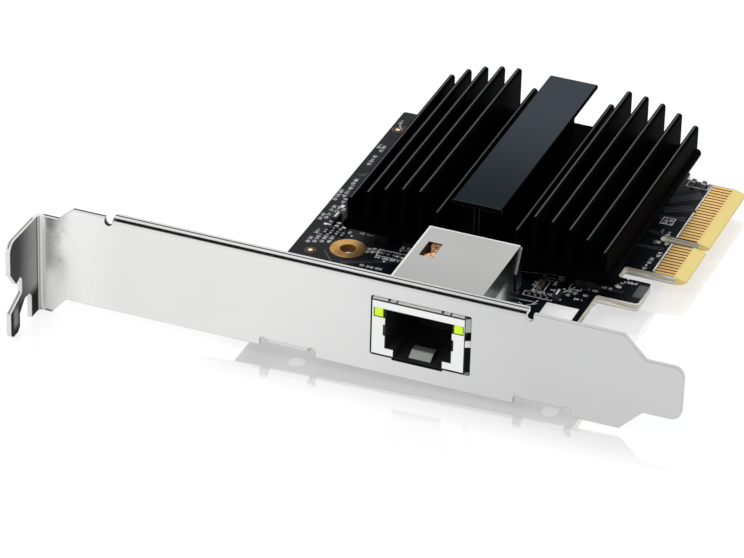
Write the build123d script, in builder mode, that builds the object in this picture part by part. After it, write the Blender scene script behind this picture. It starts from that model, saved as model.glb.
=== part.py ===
from build123d import *
import os

os.makedirs("parts", exist_ok=True)

# Low-profile network card on a full-height bracket. The origin is the centre of the bracket's
# outer face: X runs along the bracket from its folded tab, Y into the machine, +Z towards the
# component side of the board. Sizes are in millimetres. "Along" counts from the outer face of
# the folded tab, "height" from the lower edge of the bracket's face.

# Bracket: one folded sheet
shoulder_along = 109.10
tongue_length = 6.805
bracket_width = 18.42
sheet = 0.86
tab_bend = 0.74
edge_bend = 0.40
tab_depth = 11.43
end_low = -3.17
end_high = 15.90
low_step = (3.24, 6.05)
high_step = (4.56, 7.42)
tongue_width = 10.19
tongue_tip_round = 2.0
tongue_root_round = 0.8
lip_depth = 2.30
lip_notch_width = 1.40
lip_notch_depth = 1.50
lip_notches_along = (14.30, 92.30)
ear_depth = 9.60
ear_width = 7.55
ear_alongs = (48.30, 95.25)
ear_relief = 1.50
ear_round = 1.5
ear_hole_back = 5.2
window_low = 3.40
window_width = 18.40
window_height = 11.75
window_along = 72.80
window_round = 0.35
sill_width = 9.30
sill_drop = 0.35
# Tab: screw notch open to the front, and a bent prong beside a slot open below
tab_corner = 2.0
notch_lead = 9.80
notch_hook = (9.10, 6.80)
notch_throat = (7.70, 7.55)
notch_wall = 6.80
notch_floor = 3.90
prong_knee = 1.90
prong_bevel = 0.8
slot_shoulder = (7.90, 0.14)
slot_roof = (5.80, 2.20)
slot_wall = 3.05
slot_corner = 0.95

# Board
board_thickness = 1.57
board_height = 1.20
board_gap = 1.20
board_top_along = 37.00
board_side_along = 92.50
board_foot_along = 93.90
board_back = 83.90
lug_along = 100.00
lug_back = 11.00
hook_reach = 6.30
hook_back = (35.40, 43.00)
board_round = 0.6
tab_start = 46.90
tab_end = 81.30
tab_reach = 11.40
key_back = 59.05
key_width = 1.90
key_depth = 8.80
bevel_run = 1.90
bevel_depth = 0.50
mount_hole = 3.00
mount_hole_along = 46.50
mount_hole_back = 32.40
ring_width = 6.60
fiducial_size = 1.30
fiducial_places = ((40.50, 29.20), (38.50, 76.80))

# Edge contacts
contact_pitch = 1.00
contact_width = 0.70
contact_length = 3.80
contact_inset = 0.40
copper = 0.05
first_contacts = 11
last_contacts = 21

# Network jack
jack_along = 72.30
jack_width = 17.05
jack_height = 11.63
jack_front = 0.20
jack_back = 27.30
shield_wall = 0.25
fit_gap = 0.05
window_gap = 0.15
plug_width = 12.20
plug_low = 4.95
plug_high = 12.75
plug_depth = 12.60
latch_width = 9.00
latch_floor = 0.55
side_nick = 0.35
side_nick_low = 7.45
side_nick_high = 9.60
light_width = 1.85
light_height = 1.80
light_depth = 11.0
light_bevel = 0.60
front_rim = 0.06
top_window_width = 2.60
top_window_depth = 4.95
top_window_inset = 1.85
top_window_back = 5.25
finger_thick = 0.20
finger_rise = 0.55
finger_back = 4.60
finger_slot = 1.60
finger_middle = 8.20
side_leaves = ((14.30, 2.60), (10.00, 1.30))
lap_length = 2.30
lap_low = 3.40
lap_knee = 7.00
lap_high = 11.10
peg_width = 1.20
peg_drop = 0.90
peg_backs = (8.00, 20.50)
chamber_floor = 6.00
chamber_wall = 1.20
coils_across = 3
coils_deep = 2
coil_inner = 1.50
coil_sides = 16
coil_gap = 0.44
coil_headroom = 0.98
wire_pitch = 1.02
wire_size = 0.36
wire_slot = 0.60
wire_bend = 0.70
wire_front = 2.70
wire_drop = 3.00
wires = 8
pin_size = 0.45
pin_drop = 2.40
pin_pitch = 2.04
pin_row = 2.54
pins_across = 6
pin_back = 20.00
hole_gap = 0.15
hole_sides = 8
ramp_width = 4.00
ramp_rise = 0.85
ramp_run = 1.50
ramp_length = 3.00
ramp_foot = 2.60

# Heat sink: one extrusion with a base, tall fins and a middle T
sink_shift = 4.80
sink_front = 33.40
sink_length = 50.50
sink_side_inset = 3.15
sink_lift = 3.53
sink_base = 1.80
sink_round = 0.8
fin_thick = 1.15
fin_first = 10.80
fin_edge = 1.38
tall_fins = 5
fin_crest = 14.30
fin_crest_along = 10.0
fin_fall = 4.235
short_fin = 7.52
short_fin_top = 10.83
bar_half_width = 4.70
bar_top = 14.18
bar_thick = 0.87
bar_round = 0.30
stem_thick = 1.00
sink_screw_inset = 4.90
sink_screw_side_inset = 6.30

# Screws and posts
screw_size = 3.00
screw_head = 5.50
screw_head_high = 1.90
screw_head_slope = 0.80
screw_tip = 0.35
drive_size = 2.40
drive_slot = 0.65
drive_depth = 1.15
sink_screw_size = 2.50
sink_screw_head = 4.50
sink_screw_head_high = 2.55
sink_screw_slope = 0.25
sink_screw_grip = 1.20
socket_size = 2.00
socket_depth = 1.10
post_size = 4.60
hex_sides = 6

# Controller package under the heat sink
package_size = 17.00
package_thick = 0.95
lid_size = 12.50
lid_thick = 1.10
pad_size = 14.00

# Small parts on the board
chip_large = (1.60, 0.80, 0.80)
chip_small = (1.00, 0.50, 0.40)
memory_size = (5.20, 3.90, 1.50)
memory_gap = 4.65
memory_back = 54.00
mould_edge = 0.15
lead_pitch = 1.27
lead_size = (0.45, 1.00, 0.20)
leads_along = 4
crystal_size = (3.20, 2.50, 0.75)
crystal_place = (48.60, 42.60)
regulator_size = (3.00, 3.00, 0.90)
regulator_place = (56.60, 38.60)
choke_size = (4.00, 4.00, 1.90)
choke_place = (52.60, 47.60)
header_size = (1.10, 2.60, 1.30)
header_place = (40.80, 40.90)
sticker_size = (6.00, 4.80)
sticker_thick = 0.10
capacitor_row = (40.60, 38.40)
capacitor_row_count = 3
capacitor_step = 1.45
resistor_rows = ((40.60, 36.20), (52.80, 33.40))
resistor_row_count = 4
resistor_step = 1.10
# These places are counted from the jack's right side
side_sticker = (7.575, 27.00)
side_header = (5.775, 31.60)
side_capacitors = ((1.775, 33.60), (1.775, 35.40))
side_resistor_row = (0.775, 31.00)
# These are counted towards the folded tab from the edge that holds the connector tab
foot_regulator = (9.50, 41.60)
foot_choke = (7.30, 46.00)
foot_capacitors = ((8.90, 38.40), (-1.70, 80.20), (-3.70, 80.20))
foot_resistors = ((-1.30, 65.30), (-2.10, 61.00), (-2.10, 56.80))

# Where those counts begin
tongue_low = (bracket_width - tongue_width) / 2
tongue_along = shoulder_along + tongue_low
bracket_length = tongue_along + tongue_length
tab_x = -bracket_length / 2
foot_z = -bracket_width / 2
board_under = foot_z + board_height
board_top = board_under + board_thickness
board_front = sheet + board_gap
jack_x = tab_x + jack_along
jack_top = board_top + jack_height
jack_foot = foot_z + window_low + window_gap
sill_foot = jack_foot - sill_drop
jack_step = sheet + 2 * window_gap
sink_along = (board_top_along + board_foot_along) / 2 + sink_shift
sink_half_width = (board_foot_along - board_top_along) / 2 - sink_side_inset
sink_screw_across = sink_half_width - sink_screw_side_inset
sink_x = tab_x + sink_along
sink_low = board_top + sink_lift
sink_mid = sink_front + sink_length / 2

# The bracket's face is drawn from its lower corner at the tab, seen from outside.
face_corner = Plane(origin=(tab_x, 0, foot_z), x_dir=(1, 0, 0), z_dir=(0, -1, 0))


def side_plane(along, back=0):
    """Return a plane across the bracket, with local X into the machine and local Y up."""
    return Plane(origin=(tab_x + along, back, foot_z), x_dir=(0, 1, 0), z_dir=(1, 0, 0))


def bent_sheet(start, corner, end, inner_radius):
    """Draw the section of a sheet folded once at a corner, given its middle line."""
    with BuildLine() as middle:
        FilletPolyline(start, corner, end, radius=inner_radius + sheet / 2)
    trace(middle.line, line_width=sheet)


# Mounting bracket
lip_start, lip_end = lip_notches_along
lip_from = lip_start + lip_notch_width / 2
lip_to = lip_end - lip_notch_width / 2
lip_cut = edge_bend + sheet
ear_mid = board_height - sheet / 2
ear_cut = board_height + edge_bend + window_gap
flat_start = sheet + tab_bend
with BuildPart() as mounting_bracket:
    with BuildSketch(face_corner.offset(-sheet)) as face_outline:
        with BuildLine():
            Polyline(
                (flat_start, end_low),
                (low_step[0], end_low),
                (low_step[1], 0),
                (shoulder_along, 0),
                (tongue_along, tongue_low),
                (bracket_length, tongue_low),
                (bracket_length, tongue_low + tongue_width),
                (tongue_along, tongue_low + tongue_width),
                (shoulder_along, bracket_width),
                (high_step[1], bracket_width),
                (high_step[0], end_high),
                (flat_start, end_high),
                close=True,
            )
        make_face()
        tongue_corners = face_outline.vertices().filter_by_position(Axis.X, tongue_along, bracket_length)
        fillet(tongue_corners.group_by(Axis.X)[-1], tongue_tip_round)
        fillet(tongue_corners.group_by(Axis.X)[0], tongue_root_round)
        with Locations(((lip_from + lip_to) / 2, bracket_width - lip_cut / 2)):
            Rectangle(lip_to - lip_from, lip_cut, mode=Mode.SUBTRACT)
        with Locations([(spot, bracket_width) for spot in lip_notches_along]):
            SlotOverall(2 * lip_notch_depth, lip_notch_width, rotation=90, mode=Mode.SUBTRACT)
        relief_across = (ear_width + ear_relief) / 2
        for spot in ear_alongs:
            with Locations((spot, ear_cut / 2)):
                Rectangle(ear_width, ear_cut, mode=Mode.SUBTRACT)
            with Locations((spot - relief_across, 0), (spot + relief_across, 0)):
                SlotOverall(2 * ear_cut, ear_relief, rotation=90, mode=Mode.SUBTRACT)
    extrude(amount=sheet)
    with BuildSketch(Plane.XY.offset(foot_z + end_low)):
        bent_sheet(
            (tab_x + sheet / 2, -flat_start),
            (tab_x + sheet / 2, sheet / 2),
            (tab_x + flat_start + sheet, sheet / 2),
            tab_bend,
        )
        with Locations((tab_x + flat_start + sheet, sheet / 2)):
            Rectangle(2 * sheet, sheet, mode=Mode.SUBTRACT)
    extrude(amount=end_high - end_low)
    # The tab folds to the front: its blank is trimmed by the screw notch and the slot.
    with BuildSketch(side_plane(0)) as tab_outline:
        with Locations((-(tab_depth + tab_bend) / 2, (end_low + end_high) / 2)):
            Rectangle(tab_depth - tab_bend, end_high - end_low)
        outer_top = tab_outline.vertices().group_by(Axis.X)[0].sort_by(Axis.Y)[-1]
        fillet(outer_top, tab_corner)
        with BuildLine():
            Polyline(
                (-tab_depth, notch_lead),
                (-notch_hook[0], notch_hook[1]),
                (-notch_throat[0], notch_throat[1]),
                (-notch_wall, notch_hook[1]),
                (-notch_wall, notch_floor),
                (-tab_depth, prong_knee),
                (-tab_depth - sheet, prong_knee),
                (-tab_depth - sheet, notch_lead),
                close=True,
            )
        make_face(mode=Mode.SUBTRACT)
        with BuildLine():
            Polyline(
                (-slot_shoulder[0], end_low - sheet),
                (-slot_shoulder[0], slot_shoulder[1]),
                (-slot_roof[0], slot_roof[1]),
                (-slot_wall - slot_corner, slot_roof[1]),
                (-slot_wall, slot_roof[1] - slot_corner),
                (-slot_wall, end_low - sheet),
                close=True,
            )
        make_face(mode=Mode.SUBTRACT)
        prong_tips = tab_outline.vertices().group_by(Axis.Y)[0].sort_by(Axis.X)[:2]
        chamfer(prong_tips, prong_bevel)
    extrude(amount=sheet)
    # A stiffening lip folds back along the upper edge, and two ears fold back under the board.
    with BuildSketch(side_plane(lip_from)):
        bent_sheet(
            (sheet / 2, bracket_width - lip_cut),
            (sheet / 2, bracket_width - sheet / 2),
            (lip_depth, bracket_width - sheet / 2),
            edge_bend,
        )
    extrude(amount=lip_to - lip_from)
    for spot in ear_alongs:
        with BuildSketch(side_plane(spot - ear_width / 2)):
            bent_sheet((sheet / 2, ear_cut), (sheet / 2, ear_mid), (ear_depth, ear_mid), edge_bend)
        extrude(amount=ear_width)
    window_z = foot_z + window_low + window_height / 2
    with BuildSketch(Plane.XZ.offset(-sheet)):
        with Locations((tab_x + window_along, window_z)):
            RectangleRounded(window_width, window_height, window_round)
        with Locations((jack_x, foot_z + window_low)):
            Rectangle(sill_width, 2 * sill_drop)
    extrude(amount=sheet, mode=Mode.SUBTRACT)
    ear_corners = mounting_bracket.edges().filter_by(Axis.Z).filter_by_position(
        Axis.Y, ear_depth - window_gap, ear_depth + window_gap
    )
    fillet(ear_corners, ear_round)
    ear_holes = [(tab_x + spot, ear_depth - ear_hole_back, board_under) for spot in ear_alongs]
    with Locations(ear_holes):
        Hole(screw_size / 2 + fit_gap, depth=sheet)
mounting_bracket.part.label = "mounting_bracket"

# Circuit board
sink_screw_spots = [
    (sink_x + side * sink_screw_across, sink_mid + end * (sink_length / 2 - sink_screw_inset))
    for side in (-1, 1)
    for end in (-1, 1)
]
ear_spots = [(x, y) for x, y, z in ear_holes]
peg_across = (jack_width - shield_wall) / 2
peg_spots = [(jack_x + side * peg_across, back) for side in (-1, 1) for back in peg_backs]
hook_along = board_foot_along + hook_reach
tab_tip_along = board_foot_along + tab_reach
key_along = tab_tip_along - key_depth
with BuildPart() as circuit_board:
    with BuildSketch(Plane.XY.offset(board_under)) as board_outline:
        with BuildLine():
            Polyline(
                (tab_x + board_top_along, board_front),
                (tab_x + lug_along, board_front),
                (tab_x + lug_along, lug_back),
                (tab_x + board_side_along, lug_back),
                (tab_x + board_side_along, hook_back[0]),
                (tab_x + hook_along, hook_back[0]),
                (tab_x + hook_along, hook_back[1]),
                (tab_x + board_foot_along, hook_back[1]),
                (tab_x + board_foot_along, tab_start),
                (tab_x + tab_tip_along, tab_start),
                (tab_x + tab_tip_along, tab_end),
                (tab_x + board_foot_along, tab_end),
                (tab_x + board_foot_along, board_back),
                (tab_x + board_top_along, board_back),
                close=True,
            )
        make_face()
        fillet(board_outline.vertices(), board_round)
        with Locations((tab_x + tab_tip_along, key_back)):
            SlotOverall(2 * (tab_tip_along - key_along), key_width, mode=Mode.SUBTRACT)
        with Locations((tab_x + mount_hole_along, mount_hole_back)):
            Circle(mount_hole / 2, mode=Mode.SUBTRACT)
        with Locations(ear_spots):
            Circle(screw_size / 2 + hole_gap, mode=Mode.SUBTRACT)
        with Locations(sink_screw_spots):
            Circle(sink_screw_size / 2 + hole_gap, mode=Mode.SUBTRACT)
        with Locations(peg_spots):
            RegularPolygon(peg_width / 2 + hole_gap, hole_sides, major_radius=False, mode=Mode.SUBTRACT)
        with Locations((jack_x, pin_back)):
            with GridLocations(pin_pitch, pin_row, pins_across, 2):
                RegularPolygon(pin_size / 2 + 2 * hole_gap, hole_sides, major_radius=False, mode=Mode.SUBTRACT)
    extrude(amount=board_thickness)
    # The tip of the connector tab is bevelled on both faces.
    tip_edge = tab_x + tab_tip_along
    with BuildSketch(Plane.XZ.offset(-tab_start)):
        for face, inward in ((board_top, -bevel_depth), (board_under, bevel_depth)):
            with BuildLine():
                Polyline((tip_edge, face + inward), (tip_edge, face), (tip_edge - bevel_run, face), close=True)
            make_face()
    extrude(amount=-(tab_end - tab_start), mode=Mode.SUBTRACT)
circuit_board.part.label = "circuit_board"

# Edge contacts, as many on each face of the connector tab
contact_end = tab_tip_along - bevel_run - contact_inset
contact_x = tab_x + contact_end - contact_length / 2
first_middle = key_back - key_width / 2 - contact_inset - contact_width / 2
first_middle = first_middle - (first_contacts - 1) * contact_pitch / 2
last_middle = key_back + key_width / 2 + contact_inset + contact_width / 2
last_middle = last_middle + (last_contacts - 1) * contact_pitch / 2


def contact_row(base):
    """Draw both groups of contacts on a plane against one face of the tab."""
    with BuildSketch(Plane.XY.offset(base)) as row:
        with Locations((contact_x, first_middle)):
            with GridLocations(0, contact_pitch, 1, first_contacts):
                Rectangle(contact_length, contact_width)
        with Locations((contact_x, last_middle)):
            with GridLocations(0, contact_pitch, 1, last_contacts):
                Rectangle(contact_length, contact_width)
    extrude(row.sketch, amount=copper)


with BuildPart() as edge_contacts_top:
    contact_row(board_top)
edge_contacts_top.part.label = "edge_contacts_top"

with BuildPart() as edge_contacts_bottom:
    contact_row(board_under - copper)
edge_contacts_bottom.part.label = "edge_contacts_bottom"

# Bare copper round the mounting hole, and two alignment marks
with BuildPart() as mounting_hole_ring:
    with BuildSketch(Plane.XY.offset(board_top)):
        with Locations((tab_x + mount_hole_along, mount_hole_back)):
            Circle(ring_width / 2)
            Circle(mount_hole / 2, mode=Mode.SUBTRACT)
    extrude(amount=copper)
mounting_hole_ring.part.label = "mounting_hole_ring"

with BuildPart() as alignment_marks:
    with BuildSketch(Plane.XY.offset(board_top)):
        with Locations([(tab_x + along, back) for along, back in fiducial_places]):
            Circle(fiducial_size / 2)
    extrude(amount=copper)
alignment_marks.part.label = "alignment_marks"


def screw_section(size, head, head_high, length, face, down):
    """Revolve a plain screw: its head seats on a face, its shank runs the other way."""
    with BuildSketch(Plane.XZ) as section:
        with Locations((0, face - down * length / 2)):
            Rectangle(size, length)
        with Locations((0, face + down * head_high / 2)):
            Rectangle(head, head_high)
        split(bisect_by=Plane.YZ, keep=Keep.TOP)
    revolve(section.sketch, axis=Axis.Z)


# Bracket screws, from the component side through board and ear
bracket_screw_length = board_thickness + sheet + screw_tip
with BuildPart() as screw_master:
    screw_section(screw_size, screw_head, screw_head_high, bracket_screw_length, board_top, 1)
    head_edges = screw_master.edges().filter_by(GeomType.CIRCLE).group_by(Axis.Z)[-1]
    chamfer(head_edges, screw_head_slope)
    with BuildSketch(Plane.XY.offset(board_top + screw_head_high)):
        Rectangle(drive_size, drive_slot)
        Rectangle(drive_slot, drive_size)
    extrude(amount=-drive_depth, mode=Mode.SUBTRACT)
with BuildPart() as bracket_screws:
    with Locations(ear_spots):
        add(screw_master.part)
bracket_screws.part.label = "bracket_screws"

# Heat sink
fin_pitch = (sink_half_width - fin_edge - fin_first) / (tall_fins - 1)
fin_places = [fin_first + number * fin_pitch for number in range(tall_fins)]
fin_crest_reach = fin_places[-1] - fin_crest_along
fin_crest_radius = (fin_crest_reach**2 + fin_fall**2) / (2 * fin_fall)


def fin_top(across):
    """Return the height above the board of a tall fin, on an arc that falls to the outside."""
    reach = across - fin_crest_along
    return fin_crest - fin_crest_radius + (fin_crest_radius**2 - reach**2) ** 0.5


sink_plane = Plane(origin=(sink_x, sink_front, board_top), x_dir=(1, 0, 0), z_dir=(0, -1, 0))
with BuildPart() as heat_sink:
    with BuildSketch(sink_plane) as sink_section:
        with Locations((0, sink_lift + sink_base / 2)):
            RectangleRounded(2 * sink_half_width, sink_base, sink_round)
        with Locations((0, (sink_lift + sink_base + bar_top) / 2)):
            Rectangle(stem_thick, bar_top - sink_lift - sink_base)
        with Locations((0, bar_top - bar_thick / 2)):
            RectangleRounded(2 * bar_half_width, bar_thick, bar_round)
        fins = [(short_fin, short_fin_top)] + [(place, fin_top(place)) for place in fin_places]
        for across, top in fins:
            fin_height = top - sink_lift - sink_base / 2
            with Locations(*[(side * across, top - fin_height / 2) for side in (-1, 1)]):
                SlotOverall(fin_height, fin_thick, rotation=90)
    extrude(amount=-sink_length)
    with Locations([(x, y, sink_low) for x, y in sink_screw_spots]):
        with Locations(Rotation(180, 0, 0)):
            Hole(sink_screw_size / 2 + fit_gap, depth=sink_screw_grip + fit_gap)
heat_sink.part.label = "heat_sink"

sink_screw_length = board_thickness + sink_lift + sink_screw_grip
with BuildPart() as sink_screw_master:
    screw_section(sink_screw_size, sink_screw_head, sink_screw_head_high, sink_screw_length, board_under, -1)
    chamfer(sink_screw_master.edges().filter_by(GeomType.CIRCLE).group_by(Axis.Z)[0], sink_screw_slope)
    with BuildSketch(Plane.XY.offset(board_under - sink_screw_head_high)):
        RegularPolygon(socket_size / 2, hex_sides, major_radius=False)
    extrude(amount=socket_depth, mode=Mode.SUBTRACT)
with BuildPart() as heat_sink_screws:
    with Locations(sink_screw_spots):
        add(sink_screw_master.part)
heat_sink_screws.part.label = "heat_sink_screws"

with BuildPart() as heat_sink_posts:
    with BuildSketch(Plane.XY.offset(board_top)):
        with Locations(sink_screw_spots):
            RegularPolygon(post_size / 2, hex_sides)
            RegularPolygon(sink_screw_size / 2 + fit_gap, hole_sides, major_radius=False, mode=Mode.SUBTRACT)
    extrude(amount=sink_lift)
heat_sink_posts.part.label = "heat_sink_posts"

# Controller package, its lid, and the soft pad that fills the gap to the heat sink
pad_thick = sink_lift - package_thick - lid_thick
with BuildPart() as controller_package:
    with BuildSketch(Plane.XY.offset(board_top)):
        with Locations((sink_x, sink_mid)):
            RectangleRounded(package_size, package_size, board_round)
    extrude(amount=package_thick)
controller_package.part.label = "controller_package"

with BuildPart() as package_lid:
    with BuildSketch(Plane.XY.offset(board_top + package_thick)):
        with Locations((sink_x, sink_mid)):
            RectangleRounded(lid_size, lid_size, board_round)
    extrude(amount=lid_thick)
    chamfer(package_lid.edges().group_by(Axis.Z)[-1], fit_gap)
package_lid.part.label = "package_lid"

with BuildPart() as thermal_pad:
    with BuildSketch(Plane.XY.offset(sink_low - pad_thick)):
        with Locations((sink_x, sink_mid)):
            Rectangle(pad_size, pad_size)
    extrude(amount=pad_thick)
thermal_pad.part.label = "thermal_pad"

# Jack shield: a folded can, open below, whose front stands in the bracket's window
plug_high_z = foot_z + plug_high
plug_low_z = foot_z + plug_low
jack_mid = (jack_front + jack_back) / 2
plug_z = (plug_low_z + plug_high_z) / 2
light_across = jack_width / 2 - shield_wall - front_rim - light_width / 2
light_z = plug_high_z - light_height / 2
front_plane = Plane(origin=(jack_x, jack_front, 0), x_dir=(1, 0, 0), z_dir=(0, -1, 0))
shield_inside = jack_width - 2 * shield_wall


def stepped_block(width, front, back, top):
    """Extrude a block that stands on the board and is raised where it passes the window sill."""
    with BuildSketch(Plane(origin=(jack_x - width / 2, 0, 0), x_dir=(0, 1, 0), z_dir=(1, 0, 0))) as profile:
        with BuildLine():
            Polyline(
                (front, jack_foot),
                (jack_step, jack_foot),
                (jack_step, board_top),
                (back, board_top),
                (back, top),
                (front, top),
                close=True,
            )
        make_face()
    extrude(profile.sketch, amount=width)


def front_opening(margin):
    """Draw the plug opening with its latch slot and the two light windows above its corners."""
    with Locations((0, plug_z)):
        Rectangle(plug_width + 2 * margin, plug_high - plug_low)
    with Locations((0, (jack_foot + plug_z) / 2)):
        Rectangle(latch_width, plug_z - jack_foot)
    with Locations((0, light_z)):
        Rectangle(2 * (light_across + light_width / 2), light_height)


def spring_finger(leaf_plane, seat, reach, width):
    """Extrude one leaf that springs off the can's front edge and reaches the window's edge."""
    with BuildSketch(leaf_plane) as leaf:
        with BuildLine() as middle:
            Polyline(
                (finger_thick / 2, seat),
                (finger_rise, reach),
                (finger_back / 2, reach),
                (finger_back, seat),
            )
        trace(middle.line, line_width=finger_thick)
    extrude(leaf.sketch, amount=width)


with BuildPart() as jack_shield:
    stepped_block(jack_width, jack_front, jack_back, jack_top)
    can_depth = jack_back - jack_front - 2 * shield_wall
    with Locations((jack_x, jack_mid, jack_top - shield_wall)):
        Box(
            shield_inside,
            can_depth,
            2 * jack_height,
            align=(Align.CENTER, Align.CENTER, Align.MAX),
            mode=Mode.SUBTRACT,
        )
    with BuildSketch(front_plane):
        front_opening(0)
        with Locations((0, foot_z + (side_nick_low + side_nick_high) / 2)):
            Rectangle(plug_width + 2 * side_nick, side_nick_high - side_nick_low)
    extrude(amount=-shield_wall, mode=Mode.SUBTRACT)
    window_x = jack_x - jack_width / 2 + top_window_inset + top_window_width / 2
    window_y = jack_back - top_window_back - top_window_depth / 2
    with BuildSketch(Plane.XY.offset(jack_top)):
        with Locations((window_x, window_y)):
            Rectangle(top_window_width, top_window_depth)
    extrude(amount=-shield_wall, mode=Mode.SUBTRACT)
    # Leaves along the upper front edge and on the right, then a tapered flap round each rear corner
    outer_leaf = (jack_width - finger_middle) / 2 - finger_slot - shield_wall
    outer_across = (jack_width - outer_leaf) / 2 - shield_wall
    top_seat = jack_top - finger_thick / 2
    top_reach = foot_z + window_low + window_height - window_gap - finger_thick / 2
    for across, width in ((-outer_across, outer_leaf), (0, finger_middle), (outer_across, outer_leaf)):
        leaf_corner = (jack_x + across - width / 2, jack_front, 0)
        spring_finger(Plane(origin=leaf_corner, x_dir=(0, 1, 0), z_dir=(1, 0, 0)), top_seat, top_reach, width)
    side_seat = (jack_width - finger_thick) / 2
    side_reach = window_along + window_width / 2 - jack_along - window_gap - finger_thick / 2
    for high, width in side_leaves:
        leaf_corner = (jack_x, jack_front, foot_z + high)
        spring_finger(Plane(origin=leaf_corner, x_dir=(0, 1, 0), z_dir=(0, 0, -1)), side_seat, side_reach, width)
    lap_back = jack_back + shield_wall
    for flap_x in (jack_x - jack_width / 2 - shield_wall, jack_x + jack_width / 2):
        with BuildSketch(Plane(origin=(flap_x, 0, board_top), x_dir=(0, 1, 0), z_dir=(1, 0, 0))):
            with BuildLine():
                Polyline(
                    (lap_back, lap_low),
                    (jack_back - lap_length, lap_low),
                    (jack_back - lap_length, lap_knee),
                    (jack_back, lap_high),
                    (lap_back, lap_high),
                    close=True,
                )
            make_face()
        extrude(amount=shield_wall)
    with Locations((jack_x, jack_back, board_top + lap_low)):
        Box(
            jack_width + 2 * shield_wall,
            shield_wall,
            lap_high - lap_low,
            align=(Align.CENTER, Align.MIN, Align.MIN),
        )
    # Pegs through the board
    with Locations([(x, y, board_top) for x, y in peg_spots]):
        Box(
            shield_wall,
            peg_width,
            board_thickness + peg_drop,
            align=(Align.CENTER, Align.CENTER, Align.MAX),
        )
jack_shield.part.label = "jack_shield"

# Jack housing: a moulded block with the plug cavity, light channels, contact comb and coil chamber
housing_width = shield_inside - 2 * fit_gap
housing_front = jack_front + shield_wall + fit_gap
housing_back = jack_back - shield_wall - fit_gap
housing_top = jack_top - shield_wall - fit_gap
plug_end = jack_front + plug_depth
comb_top = plug_high_z + wire_size + fit_gap
comb_end = plug_end + wire_pitch
chamber_width = housing_width - 2 * chamber_wall
coil_outer = (chamber_width - (coils_across + 1) * coil_gap) / coils_across
coil_step = coil_outer + coil_gap
coil_height = jack_height - shield_wall - chamber_floor - coil_headroom
chamber_depth = coils_deep * coil_step + coil_gap
chamber_back = housing_back - chamber_wall - chamber_depth
with BuildPart() as jack_housing:
    stepped_block(housing_width, housing_front, housing_back, housing_top)
    with BuildSketch(front_plane):
        with Locations((0, plug_z)):
            Rectangle(plug_width, plug_high - plug_low)
    extrude(amount=-plug_depth, mode=Mode.SUBTRACT)
    latch_bottom = board_top + latch_floor
    with Locations((jack_x, jack_front, latch_bottom)):
        Box(
            latch_width,
            plug_depth,
            plug_z - latch_bottom,
            align=(Align.CENTER, Align.MIN, Align.MIN),
            mode=Mode.SUBTRACT,
        )
    # Its floor passes over the bracket's sill, which is lower there
    with Locations((jack_x, housing_front, latch_bottom)):
        Box(
            sill_width - 2 * window_gap,
            jack_step - housing_front,
            latch_bottom - sill_foot,
            align=(Align.CENTER, Align.MIN, Align.MAX),
        )
    with Locations((jack_x, housing_front, latch_bottom)):
        Box(
            latch_width,
            jack_step - housing_front,
            plug_z - latch_bottom,
            align=(Align.CENTER, Align.MIN, Align.MIN),
            mode=Mode.SUBTRACT,
        )
    with Locations([(jack_x + side * light_across, jack_front, light_z) for side in (-1, 1)]):
        Box(
            light_width + 2 * fit_gap,
            light_depth + 2 * shield_wall,
            light_height + 2 * fit_gap,
            align=(Align.CENTER, Align.MIN, Align.CENTER),
            mode=Mode.SUBTRACT,
        )
    with Locations((jack_x, wire_front - wire_slot, comb_top)):
        with GridLocations(wire_pitch, 0, wires, 1):
            Box(
                wire_slot,
                comb_end - wire_front + wire_slot,
                comb_top - plug_z,
                align=(Align.CENTER, Align.MIN, Align.MAX),
                mode=Mode.SUBTRACT,
            )
    with Locations((jack_x, chamber_back, board_top + chamber_floor)):
        Box(
            chamber_width,
            chamber_depth,
            jack_height,
            align=(Align.CENTER, Align.MIN, Align.MIN),
            mode=Mode.SUBTRACT,
        )
jack_housing.part.label = "jack_housing"

# Spring contacts: each leaves the comb, turns at the front and leans back into the cavity
wire_high = plug_high_z + wire_size / 2
wire_plane = Plane(origin=(jack_x - wire_size / 2, 0, 0), x_dir=(0, 1, 0), z_dir=(1, 0, 0))
with BuildPart() as wire_master:
    with BuildSketch(wire_plane):
        with BuildLine():
            Polyline(
                (comb_end, wire_high),
                (wire_front + wire_bend, wire_high),
                (wire_front, wire_high - wire_bend),
                (wire_front + wire_bend, wire_high - 2 * wire_bend),
                (plug_end - 2 * wire_bend, wire_high - wire_drop),
            )
        trace(line_width=wire_size)
    extrude(amount=wire_size)
with BuildPart() as jack_contacts:
    with GridLocations(wire_pitch, 0, wires, 1):
        add(wire_master.part)
jack_contacts.part.label = "jack_contacts"

# Latch ramp: a folded metal leaf on the floor of the latch slot
ramp_floor = board_top + latch_floor + finger_thick / 2
ramp_front = jack_step + window_gap
with BuildPart() as jack_latch_ramp:
    with BuildSketch(Plane(origin=(jack_x - ramp_width / 2, 0, 0), x_dir=(0, 1, 0), z_dir=(1, 0, 0))):
        with BuildLine():
            Polyline(
                (ramp_front, ramp_floor),
                (ramp_front + ramp_run, ramp_floor + ramp_rise),
                (ramp_front + ramp_length, ramp_floor + ramp_rise),
                (ramp_front + ramp_length + ramp_rise, ramp_floor),
                (ramp_front + ramp_length + ramp_rise + ramp_foot, ramp_floor),
            )
        trace(line_width=finger_thick)
    extrude(amount=ramp_width)
jack_latch_ramp.part.label = "jack_latch_ramp"


def light_pipe(side):
    """Make one light guide: a bar that runs back from its window."""
    with Locations((jack_x + side * light_across, jack_front + fit_gap, light_z)):
        Box(
            light_width,
            light_depth,
            light_height,
            align=(Align.CENTER, Align.MIN, Align.CENTER),
        )


with BuildPart() as jack_light_left:
    light_pipe(-1)
    chamfer(jack_light_left.edges().filter_by(Axis.Z).group_by(Axis.Y)[-1], light_bevel)
jack_light_left.part.label = "jack_light_left"

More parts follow.
